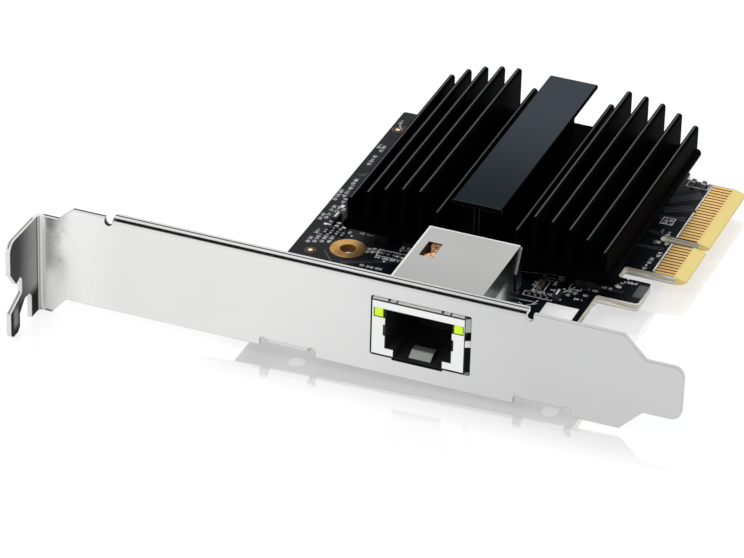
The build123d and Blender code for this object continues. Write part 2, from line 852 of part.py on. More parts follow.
with BuildPart() as jack_light_right:
    light_pipe(1)
    chamfer(jack_light_right.edges().filter_by(Axis.Z).group_by(Axis.Y)[-1], light_bevel)
jack_light_right.part.label = "jack_light_right"

# Transformer coils in their chamber
with BuildPart() as coil_master:
    with BuildSketch(Plane.XY.offset(board_top + chamber_floor)):
        RegularPolygon(coil_outer / 2, coil_sides)
        RegularPolygon(coil_inner / 2, coil_sides, mode=Mode.SUBTRACT)
    extrude(amount=coil_height)
with BuildPart() as jack_coils:
    with Locations((jack_x, chamber_back + chamber_depth / 2)):
        with GridLocations(coil_step, coil_step, coils_across, coils_deep):
            add(coil_master.part)
jack_coils.part.label = "jack_coils"

# Solder pins under the jack
with BuildPart() as jack_pins:
    with BuildSketch(Plane.XY.offset(board_top)):
        with Locations((jack_x, pin_back)):
            with GridLocations(pin_pitch, pin_row, pins_across, 2):
                Rectangle(pin_size, pin_size)
    extrude(amount=-pin_drop)
jack_pins.part.label = "jack_pins"


def from_foot(place):
    """Turn a place counted from the edge that holds the connector tab into one along the bracket."""
    reach, back = place
    return (board_foot_along - reach, back)


def from_jack(place):
    """Turn a place counted from the jack's right side into one along the bracket."""
    reach, back = place
    return (jack_along + jack_width / 2 + reach, back)


def on_board(places, size):
    """Stand a box on the board at each place."""
    length, depth, height = size
    with BuildSketch(Plane.XY.offset(board_top)) as footprint:
        with Locations([(tab_x + along, back) for along, back in places]):
            Rectangle(length, depth)
    extrude(footprint.sketch, amount=height)


memory_along = sink_along + package_size / 2 + memory_gap + memory_size[0] / 2
with BuildPart() as memory_chip:
    on_board([(memory_along, memory_back)], memory_size)
    chamfer(memory_chip.edges().group_by(Axis.Z)[-1], mould_edge)
memory_chip.part.label = "memory_chip"

with BuildPart() as memory_pins:
    with BuildSketch(Plane.XY.offset(board_top)):
        with Locations((tab_x + memory_along, memory_back)):
            with GridLocations(lead_pitch, memory_size[1] + lead_size[1], leads_along, 2):
                Rectangle(lead_size[0], lead_size[1])
    extrude(amount=lead_size[2])
memory_pins.part.label = "memory_pins"

with BuildPart() as crystal:
    on_board([crystal_place], crystal_size)
crystal.part.label = "crystal"

with BuildPart() as voltage_regulators:
    on_board([regulator_place, from_foot(foot_regulator)], regulator_size)
voltage_regulators.part.label = "voltage_regulators"

with BuildPart() as power_inductors:
    on_board([choke_place, from_foot(foot_choke)], choke_size)
    fillet(power_inductors.edges().filter_by(Axis.Z), board_round)
power_inductors.part.label = "power_inductors"

with BuildPart() as pin_headers:
    on_board([header_place, from_jack(side_header)], header_size)
pin_headers.part.label = "pin_headers"


def row_places(start, count, step):
    """Return places at even steps along the bracket."""
    return [(start[0] + number * step, start[1]) for number in range(count)]


all_capacitors = row_places(capacitor_row, capacitor_row_count, capacitor_step)
all_capacitors = all_capacitors + [from_foot(place) for place in foot_capacitors]
all_capacitors = all_capacitors + [from_jack(place) for place in side_capacitors]
with BuildPart() as capacitors:
    on_board(all_capacitors, (chip_large[1], chip_large[0], chip_large[2]))
capacitors.part.label = "capacitors"

all_resistors = [from_foot(place) for place in foot_resistors]
for row_start in (*resistor_rows, from_jack(side_resistor_row)):
    all_resistors = all_resistors + row_places(row_start, resistor_row_count, resistor_step)
with BuildPart() as resistors:
    on_board(all_resistors, (chip_small[1], chip_small[0], chip_small[2]))
resistors.part.label = "resistors"

with BuildPart() as board_sticker:
    on_board([from_jack(side_sticker)], (*sticker_size, sticker_thick))
board_sticker.part.label = "board_sticker"

pieces = [
    mounting_bracket,
    circuit_board,
    edge_contacts_top,
    edge_contacts_bottom,
    mounting_hole_ring,
    alignment_marks,
    bracket_screws,
    heat_sink,
    heat_sink_screws,
    heat_sink_posts,
    controller_package,
    package_lid,
    thermal_pad,
    jack_shield,
    jack_housing,
    jack_contacts,
    jack_latch_ramp,
    jack_light_left,
    jack_light_right,
    jack_coils,
    jack_pins,
    memory_chip,
    memory_pins,
    crystal,
    voltage_regulators,
    power_inductors,
    pin_headers,
    capacitors,
    resistors,
    board_sticker,
]
for piece in pieces:
    export_step(piece.part, f"parts/{piece.part.label}.step")
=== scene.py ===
from math import cos, degrees, radians, sin

import bmesh
import bpy
from mathutils import Matrix, Vector


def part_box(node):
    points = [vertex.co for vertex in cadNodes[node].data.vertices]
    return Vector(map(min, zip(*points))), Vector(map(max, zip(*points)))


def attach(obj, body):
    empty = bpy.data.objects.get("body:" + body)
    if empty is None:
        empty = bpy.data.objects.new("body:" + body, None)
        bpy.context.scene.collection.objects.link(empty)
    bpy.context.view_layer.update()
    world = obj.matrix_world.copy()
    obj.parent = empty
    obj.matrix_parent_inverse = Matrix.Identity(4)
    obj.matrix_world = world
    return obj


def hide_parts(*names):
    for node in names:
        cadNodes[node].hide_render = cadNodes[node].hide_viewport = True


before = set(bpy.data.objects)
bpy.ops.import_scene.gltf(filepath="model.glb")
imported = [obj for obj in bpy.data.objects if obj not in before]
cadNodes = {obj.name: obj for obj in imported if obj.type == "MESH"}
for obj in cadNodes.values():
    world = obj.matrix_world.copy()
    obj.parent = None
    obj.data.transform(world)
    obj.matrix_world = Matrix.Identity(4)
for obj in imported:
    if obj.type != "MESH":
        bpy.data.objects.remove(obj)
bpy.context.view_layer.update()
mm = 0.001
bracketLow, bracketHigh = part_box("mounting_bracket")
boardLow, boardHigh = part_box("circuit_board")
tabX = bracketLow[0]
boardTop = boardHigh[2]
boardUnder = boardLow[2]
print("frame loaded:", len(cadNodes), "nodes")


# Small helpers for shader trees

def setSockets(tree, node, values):
    for name, value in values.items():
        if isinstance(value, bpy.types.NodeSocket):
            tree.links.new(value, node.inputs[name])
        else:
            node.inputs[name].default_value = value


def put(tree, kind, inputs=None, **settings):
    node = tree.nodes.new("ShaderNode" + kind)
    for name, value in settings.items():
        setattr(node, name, value)
    setSockets(tree, node, inputs or {})
    return node


def calc(tree, operation, first, second=0.0, clamp=False):
    return put(tree, "Math", {0: first, 1: second}, operation=operation, use_clamp=clamp).outputs[0]


def both(tree, *masks):  # the product of masks or shares
    result = masks[0]
    for mask in masks[1:]:
        result = calc(tree, "MULTIPLY", result, mask)
    return result


def either(tree, *masks):  # the highest of the masks
    result = masks[0]
    for mask in masks[1:]:
        result = calc(tree, "MAXIMUM", result, mask)
    return result


def fade(tree, value, low, high):  # 0 at low, 1 at high
    node = put(tree, "MapRange", {"Value": value, "From Min": low, "From Max": high})
    node.interpolation_type = "SMOOTHSTEP"
    return node.outputs["Result"]


def spread(tree, value, low, high):  # low at 0, high at 1
    return put(tree, "MapRange", {"Value": value, "To Min": low, "To Max": high}).outputs["Result"]


def distance(tree, value, middle):
    return calc(tree, "ABSOLUTE", calc(tree, "SUBTRACT", value, middle))


def band(tree, value, middle, half):  # 1 at the middle, 0 beyond the half width
    return fade(tree, distance(tree, value, middle), half, half * 0.4)


def blendColours(tree, mask, first, second):
    first, second = [
        value if isinstance(value, bpy.types.NodeSocket) else (*value, 1) for value in (first, second)
    ]
    return put(tree, "Mix", {0: mask, 6: first, 7: second}, data_type="RGBA").outputs[2]


def placeOf(tree):  # along, outward and up, in the shared frame
    return put(tree, "SeparateXYZ", {0: put(tree, "TexCoord").outputs["Object"]}).outputs


def facingOf(tree):  # the same parts of the direction in which a face points
    return put(tree, "SeparateXYZ", {0: put(tree, "NewGeometry").outputs["Normal"]}).outputs


def newGroup(name, inputs, outputs):
    group = bpy.data.node_groups.new(name, "ShaderNodeTree")
    for label, kind, value in inputs:
        socket = group.interface.new_socket(name=label, in_out="INPUT", socket_type=kind)
        socket.default_value = value
    for label, kind in outputs:
        group.interface.new_socket(name=label, in_out="OUTPUT", socket_type=kind)
    return group, group.nodes.new("NodeGroupInput"), group.nodes.new("NodeGroupOutput")


# Shared effects

edgeRadius = 0.12 * mm
edgeAgree = (0.995, 0.9)  # how well a rounded and a flat normal agree away from an edge and at it


def makeGrain():
    group, given, result = newGroup(
        "surfaceGrain",
        [("Stretch", "NodeSocketVector", (1, 1, 1)), ("Scale", "NodeSocketFloat", 800.0)],
        [("Grain", "NodeSocketFloat")],
    )
    place = put(group, "TexCoord").outputs["Object"]
    stretched = put(group, "VectorMath", {0: place, 1: given.outputs["Stretch"]}, operation="MULTIPLY")
    noise = put(
        group, "TexNoise", {"Vector": stretched.outputs[0], "Scale": given.outputs["Scale"], "Detail": 4.0},
    )
    group.links.new(noise.outputs["Fac"], result.inputs["Grain"])
    return group


def makePatches():
    group, given, result = newGroup(
        "softPatches",
        [(label, "NodeSocketFloat", value) for label, value in (("Scale", 60.0), ("Low", 0.4), ("High", 0.7))],
        [("Mask", "NodeSocketFloat")],
    )
    place = put(group, "TexCoord").outputs["Object"]
    noise = put(group, "TexNoise", {"Vector": place, "Scale": given.outputs["Scale"], "Detail": 3.0})
    mask = put(group, "MapRange", {
        "Value": noise.outputs["Fac"], "From Min": given.outputs["Low"], "From Max": given.outputs["High"],
    })
    group.links.new(mask.outputs["Result"], result.inputs["Mask"])
    return group


def makeEdges():
    group, given, result = newGroup(
        "brokenEdges",
        [("Radius", "NodeSocketFloat", edgeRadius)],
        [("Normal", "NodeSocketVector"), ("Edge", "NodeSocketFloat")],
    )
    rounded = put(group, "Bevel", {"Radius": given.outputs["Radius"]}, samples=6).outputs[0]
    flat = put(group, "NewGeometry").outputs["Normal"]
    agree = put(group, "VectorMath", {0: rounded, 1: flat}, operation="DOT_PRODUCT").outputs["Value"]
    group.links.new(rounded, result.inputs["Normal"])
    group.links.new(fade(group, agree, *edgeAgree), result.inputs["Edge"])
    return group


grainGroup = makeGrain()
patchGroup = makePatches()
edgeGroup = makeEdges()


def newMaterial(name):
    material = bpy.data.materials.new(name)
    material.use_nodes = True
    tree = material.node_tree
    return material, tree, tree.nodes["Principled BSDF"]


def grain(tree, scale, stretch=(1, 1, 1)):
    return put(tree, "Group", {"Scale": scale, "Stretch": stretch}, node_tree=grainGroup).outputs["Grain"]


def patches(tree, scale, low=0.4, high=0.7):
    given = {"Scale": scale, "Low": low, "High": high}
    return put(tree, "Group", given, node_tree=patchGroup).outputs["Mask"]


def roughen(tree, shader, height, strength, depth=0.02 * mm, edge=edgeRadius):  # gives back the edge mask
    rounded = put(tree, "Group", {"Radius": edge}, node_tree=edgeGroup).outputs
    bump = {"Height": height, "Strength": strength, "Distance": depth, "Normal": rounded["Normal"]}
    tree.links.new(put(tree, "Bump", bump).outputs[0], shader.inputs["Normal"])
    return rounded["Edge"]


# Materials. A pair is where a tone starts and where it is full, or its lowest and highest value

steelFinish = {
    # Painted reflection: the plate goes from bright to dull away from the tab, and the clouds are patches of
    # tone
    "bright": (0.77, 0.77, 0.765),
    "dull": (0.585, 0.585, 0.59),
    "reflectionFadeReach": (40 * mm, 102 * mm),
    "cloud": (90, 0.3, 0.8),
    "cloudShare": 0.12,
    # Painted shade: dark colour for the rounded edges, the foot and the lines on cut edges
    "edge": (0.03, 0.03, 0.03),
    "edgeShadeShare": 0.75,
    "roughness": (0.14, 0.22),
    "brush": (900, (1, 1, 0.06)),
    "bump": 0.05,
    "specular": 0.1,
    # The front, and the part of it near the tab that mirrors less and is painted lighter as a painted
    # reflection
    "frontDepth": (-0.5 * mm, -0.1 * mm),
    "frontTurn": (-0.85, -0.98),
    "mirrorReach": (6 * mm, 16 * mm),
    "reflectionLift": (0.93, 0.93, 0.925),
    # Painted shade beside the bend, cloudy and darker to the top
    "shade": (0.46, 0.455, 0.43),
    "shadeTop": (0.10, 0.10, 0.095),
    "shadeReach": (7.0 * mm, 1.6 * mm),
    "shadeStart": (1.7 * mm, 2.7 * mm),
    "shadeShare": (0.06, 0.95),
    "shadeHigh": (bracketLow[2] + 7.0 * mm, bracketLow[2] + 11.0 * mm),
    "topHigh": (bracketLow[2] + 13.5 * mm, bracketLow[2] + 19.5 * mm),
    "shadeMottle": (420, 0.3, 0.7),
    "mottleShift": (-0.9 * mm, 0.9 * mm),
    "shadeFleck": 2600,
    "fleckShift": (-1.1 * mm, 1.1 * mm),
    # Painted shade along the foot of the front near the tab
    "footHigh": (bracketLow[2] + 0.50 * mm, bracketLow[2] + 0.25 * mm),
    "footReach": (5.6 * mm, 5.0 * mm),
    "footShare": 0.8,
    # The folded tab with its painted reflection, the painted shade on its prong and the painted highlight
    # streak on it
    "tabReach": (1.2 * mm, 1.0 * mm),
    "tabTurn": (0.85, 0.98),
    "tabOut": (-0.2 * mm, -9.0 * mm),
    "tabGrain": (500, (1, 0.3, 1)),
    "tabShift": (-1.2 * mm, 1.2 * mm),
    "tabMirror": 0.15,
    "tabLight": (0.33, 0.33, 0.32),
    "tabShade": (0.034, 0.038, 0.040),
    "tabRoughness": 0.6,
    "tabRoughShare": 0.9,
    "prong": (0.0, 0.0, 0.0),
    "prongHigh": (bracketLow[2] + 6.5 * mm, bracketLow[2] + 4.0 * mm),
    "highlightStreak": (0.20, 0.21, 0.21),
    "streakHigh": (-9.0 * mm, 2.6 * mm),
    "streakOut": (-9.4 * mm, 1.2 * mm),
    # Painted reflection inside the bend: middle and half width of each stripe, by direction or by place
    "bendReach": (1.8 * mm, 1.6 * mm),
    "bendOut": (-1.0 * mm, -0.8 * mm),
    "bendReflectionStripe": (0.40, 0.40, 0.39),
    "stripeTurn": (0.68, 0.22),
    "rootTurn": (0.97, 0.05),
    "rootShare": 0.7,
    "glint": (0.95, 0.95, 0.94),
    "glintReach": (1.75 * mm, 0.45 * mm),
    # Painted shade as dark lines on cut edges
    "lipShadeLine": (1.62 * mm, 0.26 * mm),
    "lipTurn": (0.9, 0.98),
    "topShadeLine": (0.36 * mm, 0.48 * mm),
    "topTurn": (0.4, 0.6),
    "lineStart": (1.4 * mm, 1.8 * mm),
    "lineEnd": (13.9 * mm, 13.6 * mm),
    "tabShadeLine": (0.34 * mm, 0.22 * mm),
    "tabLineOut": (-1.0 * mm, -1.4 * mm),
    "tabLineShare": 0.75,
    "notchPlace": 14.30 * mm,
    "notchWidth": (1.2 * mm, 1.0 * mm),
    "notchTop": (bracketHigh[2] - 0.15 * mm, bracketHigh[2] - 0.35 * mm),
    "notchFloor": (bracketHigh[2] - 2.6 * mm, bracketHigh[2] - 2.4 * mm),
    "notchTurn": (0.9, 0.6),
    # Painted shade behind the front, underneath
    "under": (0.14, 0.14, 0.14),
    "underTurn": (-0.85, -0.97),
    "underOut": (1.2 * mm, 1.5 * mm),
    "lineMirror": 0.3,
}


def makePlatedSteel(finish):
    material, tree, shader = newMaterial("platedSteel")
    along, outward, high = placeOf(tree)
    faceAlong, faceOut, faceHigh = facingOf(tree)
    fromTab = calc(tree, "SUBTRACT", along, tabX)
    # Painted reflection, darker away from the tab, mixed with cloudy patches of tone
    cloudy = both(tree, patches(tree, *finish["cloud"]), finish["cloudShare"])
    reflectionFadeAndClouds = calc(tree, "ADD", fade(tree, fromTab, *finish["reflectionFadeReach"]), cloudy, clamp=True)
    colour = blendColours(tree, reflectionFadeAndClouds, finish["bright"], finish["dull"])
    onFront = both(
        tree, fade(tree, outward, *finish["frontDepth"]), fade(tree, faceOut, *finish["frontTurn"]),
    )
    mirror = fade(tree, fromTab, *finish["mirrorReach"])
    # Painted reflection: near the tab the front mirrors less and is painted lighter instead
    reflectionLift = both(tree, fade(tree, fromTab, *finish["mirrorReach"][::-1]), onFront)
    colour = blendColours(tree, reflectionLift, colour, finish["reflectionLift"])
    # Painted shade: the upper half beside the bend is darkened in cloudy patches
    shadeMottle = calc(
        tree, "ADD", spread(tree, patches(tree, *finish["shadeMottle"]), *finish["mottleShift"]),
        spread(tree, grain(tree, finish["shadeFleck"]), *finish["fleckShift"]),
    )
    shadeMask = both(
        tree, fade(tree, calc(tree, "ADD", fromTab, shadeMottle), *finish["shadeReach"]),
        fade(tree, fromTab, *finish["shadeStart"]), onFront,
        spread(tree, fade(tree, high, *finish["shadeHigh"]), *finish["shadeShare"]),
    )
    shadeTone = blendColours(tree, fade(tree, high, *finish["topHigh"]), finish["shade"], finish["shadeTop"])
    colour = blendColours(tree, shadeMask, colour, shadeTone)
    # Painted shade along the foot of the front near the tab
    footShade = both(
        tree, onFront, fade(tree, high, *finish["footHigh"]), fade(tree, fromTab, *finish["footReach"]),
        finish["footShare"],
    )
    colour = blendColours(tree, footShade, colour, finish["edge"])
    # The folded tab gets a painted reflection of the dark end of the room, darker to its outer end, its prong
    # is painted black as shade and a painted highlight streak crosses it
    onTab = both(tree, fade(tree, fromTab, *finish["tabReach"]), fade(tree, faceAlong, *finish["tabTurn"]))
    shift = spread(tree, grain(tree, *finish["tabGrain"]), *finish["tabShift"])
    outer = fade(tree, calc(tree, "ADD", outward, shift), *finish["tabOut"])
    tabReflection = blendColours(tree, outer, finish["tabLight"], finish["tabShade"])
    tabReflection = blendColours(tree, fade(tree, high, *finish["prongHigh"]), tabReflection, finish["prong"])
    highlightStreak = both(tree, band(tree, high, *finish["streakHigh"]), band(tree, outward, *finish["streakOut"]))
    tabReflection = blendColours(tree, highlightStreak, tabReflection, finish["highlightStreak"])
    colour = blendColours(tree, onTab, colour, tabReflection)
    # Painted reflection: inside the bend a grey stripe runs between two bright ones, with a painted dark line
    # at its root
    atBend = both(tree, fade(tree, fromTab, *finish["bendReach"]), fade(tree, outward, *finish["bendOut"]))
    reflectionStripe = both(tree, atBend, band(tree, faceAlong, *finish["stripeTurn"]))
    colour = blendColours(tree, reflectionStripe, colour, finish["bendReflectionStripe"])
    glint = both(tree, band(tree, fromTab, *finish["glintReach"]), onFront)
    colour = blendColours(tree, glint, colour, finish["glint"])
    root = both(tree, atBend, band(tree, faceAlong, *finish["rootTurn"]), finish["rootShare"])
    colour = blendColours(tree, root, colour, finish["tabShade"])
    # Painted shade: a dark line along the lip
    lipShadeLine = both(tree, band(tree, outward, *finish["lipShadeLine"]), fade(tree, faceHigh, *finish["lipTurn"]))
    colour = blendColours(tree, lipShadeLine, colour, finish["edge"])
    # Painted shade on cut edges: a dark line along the back of the top, across the tab and inside the notch
    upwards = fade(tree, faceHigh, *finish["topTurn"])
    topShadeLine = both(
        tree, fade(tree, outward, *finish["topShadeLine"]), fade(tree, fromTab, *finish["lineEnd"]),
        fade(tree, fromTab, *finish["lineStart"]), upwards,
    )
    tabShadeLine = both(
        tree, band(tree, fromTab, *finish["tabShadeLine"]), fade(tree, outward, *finish["tabLineOut"]), upwards,
        finish["tabLineShare"],
    )
    notchShade = both(
        tree, fade(tree, distance(tree, fromTab, finish["notchPlace"]), *finish["notchWidth"]),
        fade(tree, high, *finish["notchTop"]), fade(tree, high, *finish["notchFloor"]),
        fade(tree, calc(tree, "ABSOLUTE", faceOut), *finish["notchTurn"]),
    )
    lines = either(tree, topShadeLine, tabShadeLine, notchShade)
    colour = blendColours(tree, lines, colour, finish["edge"])
    # Painted shade on the faces underneath, behind the front
    under = both(tree, fade(tree, faceHigh, *finish["underTurn"]), fade(tree, outward, *finish["underOut"]))
    colour = blendColours(tree, under, colour, finish["under"])
    dullLines = spread(tree, either(tree, under, lines), 1, finish["lineMirror"])
    brushed = grain(tree, *finish["brush"])
    edge = roughen(tree, shader, brushed, finish["bump"])
    # Painted shade darkens the base colour on the rounded edges
    setSockets(tree, shader, {
        "Base Color": blendColours(tree, both(tree, edge, finish["edgeShadeShare"]), colour, finish["edge"]),
        "Metallic": both(tree, spread(tree, mirror, finish["tabMirror"], 1), dullLines),
        "Specular IOR Level": finish["specular"],
        "Roughness": put(tree, "Mix", {
            0: both(tree, onTab, finish["tabRoughShare"]), 2: spread(tree, brushed, *finish["roughness"]),
            3: finish["tabRoughness"],
        }).outputs[0],
    })
    return material


roughSpread = 0.2  # lowest and highest roughness lie this share below and above the given one
metalGrain, metalBump = 1100, 0.2
plainGrain, plainBump = 2500, 0.15


def makeMetal(name, bright, dull, roughness, scale=70, stretch=(1, 1, 1)):
    material, tree, shader = newMaterial(name)
    brushed = grain(tree, metalGrain, stretch)
    setSockets(tree, shader, {
        "Base Color": blendColours(tree, patches(tree, scale), bright, dull),
        "Metallic": 1,
        "Roughness": spread(tree, brushed, roughness * (1 - roughSpread), roughness * (1 + roughSpread)),
    })
    roughen(tree, shader, brushed, metalBump)
    return material


def makePlain(name, bright, dull, roughness, specular=0.5, scale=200):
    material, tree, shader = newMaterial(name)
    fine = grain(tree, plainGrain)
    setSockets(tree, shader, {
        "Base Color": blendColours(tree, patches(tree, scale), bright, dull),
        "Roughness": spread(tree, fine, roughness * (1 - roughSpread), roughness * (1 + roughSpread)),
        "Specular IOR Level": specular,
    })
    roughen(tree, shader, fine, plainBump)
    return material


sinkLow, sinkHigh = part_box("heat_sink")
anodisedFinish = {
    "base": (0.0012, 0.0013, 0.0016),
    # Painted highlight on the upward crests of the fins
    "crestHighlight": (0.090, 0.095, 0.098),
    "crestTurn": (0.955, 0.997),
    "crestHigh": (sinkLow[2] + 4.5 * mm, sinkLow[2] + 5.0 * mm),
    # Painted sheen on the plate's top, darker to the front
    "plateSheenFront": (0.014, 0.019, 0.023),
    "plateSheenBack": (0.044, 0.053, 0.063),
    "plateMiddle": (sinkLow[0] + sinkHigh[0]) / 2,
    "plateHalf": (4.95 * mm, 4.85 * mm),
    "plateDeep": (sinkLow[1], sinkLow[1] + 40 * mm),
    # Painted highlight along the plate's front edge
    "rimDepth": (sinkLow[1] + 0.6 * mm, sinkLow[1] + 0.3 * mm),
    "dieLines": (1600, (1, 0.02, 1)),
    "roughness": (0.39, 0.51),
    "specular": 0.003,
    "bump": 0.15,
}


def makeAnodised(finish):
    material, tree, shader = newMaterial("blackAnodised")
    along, outward, high = placeOf(tree)
    # Painted highlight on the upward crests of the fins
    crestHighlight = both(
        tree, fade(tree, facingOf(tree)[2], *finish["crestTurn"]), fade(tree, high, *finish["crestHigh"]),
    )
    plate = fade(tree, distance(tree, along, finish["plateMiddle"]), *finish["plateHalf"])
    deep = fade(tree, outward, *finish["plateDeep"])
    # Painted sheen on the plate's top, darker to the front
    plateSheen = blendColours(tree, deep, finish["plateSheenFront"], finish["plateSheenBack"])
    colour = blendColours(tree, crestHighlight, finish["base"], finish["crestHighlight"])
    colour = blendColours(tree, both(tree, crestHighlight, plate), colour, plateSheen)
    drawn = grain(tree, *finish["dieLines"])
    edge = roughen(tree, shader, drawn, finish["bump"])
    # Painted highlight on the rounded front edge of the plate
    paintedRim = both(tree, edge, fade(tree, outward, *finish["rimDepth"]), plate)
    setSockets(tree, shader, {
        "Base Color": blendColours(tree, paintedRim, colour, finish["crestHighlight"]),
        "Roughness": spread(tree, drawn, *finish["roughness"]),
        "Specular IOR Level": finish["specular"],
    })
    return material


boardFinish = {
    "mask": (0.0035, 0.0042, 0.0062),
    "maskLight": (0.0065, 0.0075, 0.0105),
    "maskPatches": (240, 0.45, 0.6),
    "flatTurn": (0.975, 0.99),
    "plated": (0.16, 0.07, 0.018),
    "holeReach": (1.80 * mm, 1.70 * mm),
    # The cut edge, with its glass layers as fine lines
    "cut": (0.80, 0.75, 0.61),
    "cutBack": (0.78, 0.77, 0.73),
    "cutReach": (9 * mm, 12 * mm),
    "cutDark": (0.44, 0.41, 0.32),
    "layers": (500, (0.25, 0.25, 6)),
    "layerTone": (0.42, 0.62),
    # The bevelled tip of the connector tab
    "bevel": (0.74, 0.60, 0.23),
    "tipCut": (boardHigh[0] - 2.1 * mm, boardHigh[0] - 1.9 * mm),
    "tipReach": (boardHigh[0] - 2.42 * mm, boardHigh[0] - 2.34 * mm),
    "roughness": (0.65, 0.33),
    "specular": 0.08,
    "bump": (1400, 0.12),
    "edgeRadius": 0.05 * mm,
}


def makeBoardMask(finish):
    material, tree, shader = newMaterial("boardMask")
    along, outward, high = placeOf(tree)
    flat = fade(tree, calc(tree, "ABSOLUTE", facingOf(tree)[2]), *finish["flatTurn"])
    cutLight = blendColours(tree, fade(tree, outward, *finish["cutReach"]), finish["cut"], finish["cutBack"])
    layers = fade(tree, grain(tree, *finish["layers"]), *finish["layerTone"])
    cut = blendColours(tree, layers, finish["cutDark"], cutLight)
    cut = blendColours(tree, fade(tree, along, *finish["tipCut"]), cut, finish["bevel"])
    ringLow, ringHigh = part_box("mounting_hole_ring")
    across = [
        calc(tree, "SUBTRACT", value, (ringLow[axis] + ringHigh[axis]) / 2)
        for axis, value in enumerate((along, outward))
    ]
    away = put(tree, "CombineXYZ", {0: across[0], 1: across[1]}).outputs[0]
    away = put(tree, "VectorMath", {0: away}, operation="LENGTH").outputs["Value"]
    cut = blendColours(tree, fade(tree, away, *finish["holeReach"]), cut, finish["plated"])
    mask = blendColours(tree, patches(tree, *finish["maskPatches"]), finish["mask"], finish["maskLight"])
    mask = blendColours(tree, fade(tree, along, *finish["tipReach"]), mask, finish["bevel"])
    setSockets(tree, shader, {
        "Base Color": blendColours(tree, flat, cut, mask),
        "Roughness": spread(tree, flat, *finish["roughness"]),
        "Specular IOR Level": finish["specular"],
    })
    scale, strength = finish["bump"]
    roughen(tree, shader, grain(tree, scale), strength, edge=finish["edgeRadius"])
    return material


jackLow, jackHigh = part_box("jack_shield")
canFinish = {
    # Painted shade: the top is darker towards the front
    "top": (0.50, 0.50, 0.495),
    "topFrontShade": (0.44, 0.44, 0.435),
    "topDeep": (6 * mm, 24 * mm),
    "upTurn": (0.9, 0.98),
    # Painted shade: dark colour for the rounded edges, the border line and the slots
    "edge": (0.05, 0.05, 0.05),
    "edgeShadeShare": 0.6,
    "roughness": (0.19, 0.29),
    "brush": (1100, (1, 0.08, 1)),
    "bump": 0.06,
    # The front, painted lighter than the top, with a painted shade line along its top and right
    "front": (0.84, 0.85, 0.84),
    "frontTurn": (-0.80, -0.97),
    "borderHigh": (4.85 * mm, 4.93 * mm),
    "borderAlong": (20.615 * mm, 20.695 * mm),
    # Painted highlights as bright rims at the back and the left of the top
    "paintedRim": (0.86, 0.86, 0.85),
    "rimBack": (jackHigh[1] - 0.80 * mm, jackHigh[1] - 0.45 * mm),
    "rimLeft": (jackLow[0] + 0.75 * mm, jackLow[0] + 0.50 * mm),
    # The right side in painted shade, with painted light low down and a painted highlight on the lap at its
    # rear corner
    "side": (0.14, 0.155, 0.155),
    "sideTurn": (0.80, 0.97),
    "sideLight": (0.66, 0.68, 0.68),
    "sideHigh": (2.0 * mm, 0.6 * mm),
    "sideBack": (22 * mm, 17 * mm),
    "sideFront": (3 * mm, 5 * mm),
    "lapAlong": (jackHigh[0] - 0.12 * mm, jackHigh[0] - 0.05 * mm),
    # Sloping spring leaves at the front, painted lighter as highlights, and painted shade across the top ones
    # where the slots are
    "leafDepth": (1.5 * mm, 1.2 * mm),
    "leaf": (0.62, 0.62, 0.61),
    "leafTurn": (0.6, 0.3),
    "sideLeafTurn": (0.6, 0.36),
    "leafUpper": (0.48, 0.51, 0.51),
    "leafLower": (0.95, 0.95, 0.95),
    "leafHigh": (2.0 * mm, 1.6 * mm),
    "marks": (8.20 * mm, 18.10 * mm),
    "markHalf": 0.3 * mm,
    "markTurn": (0.2, 0.4),
}


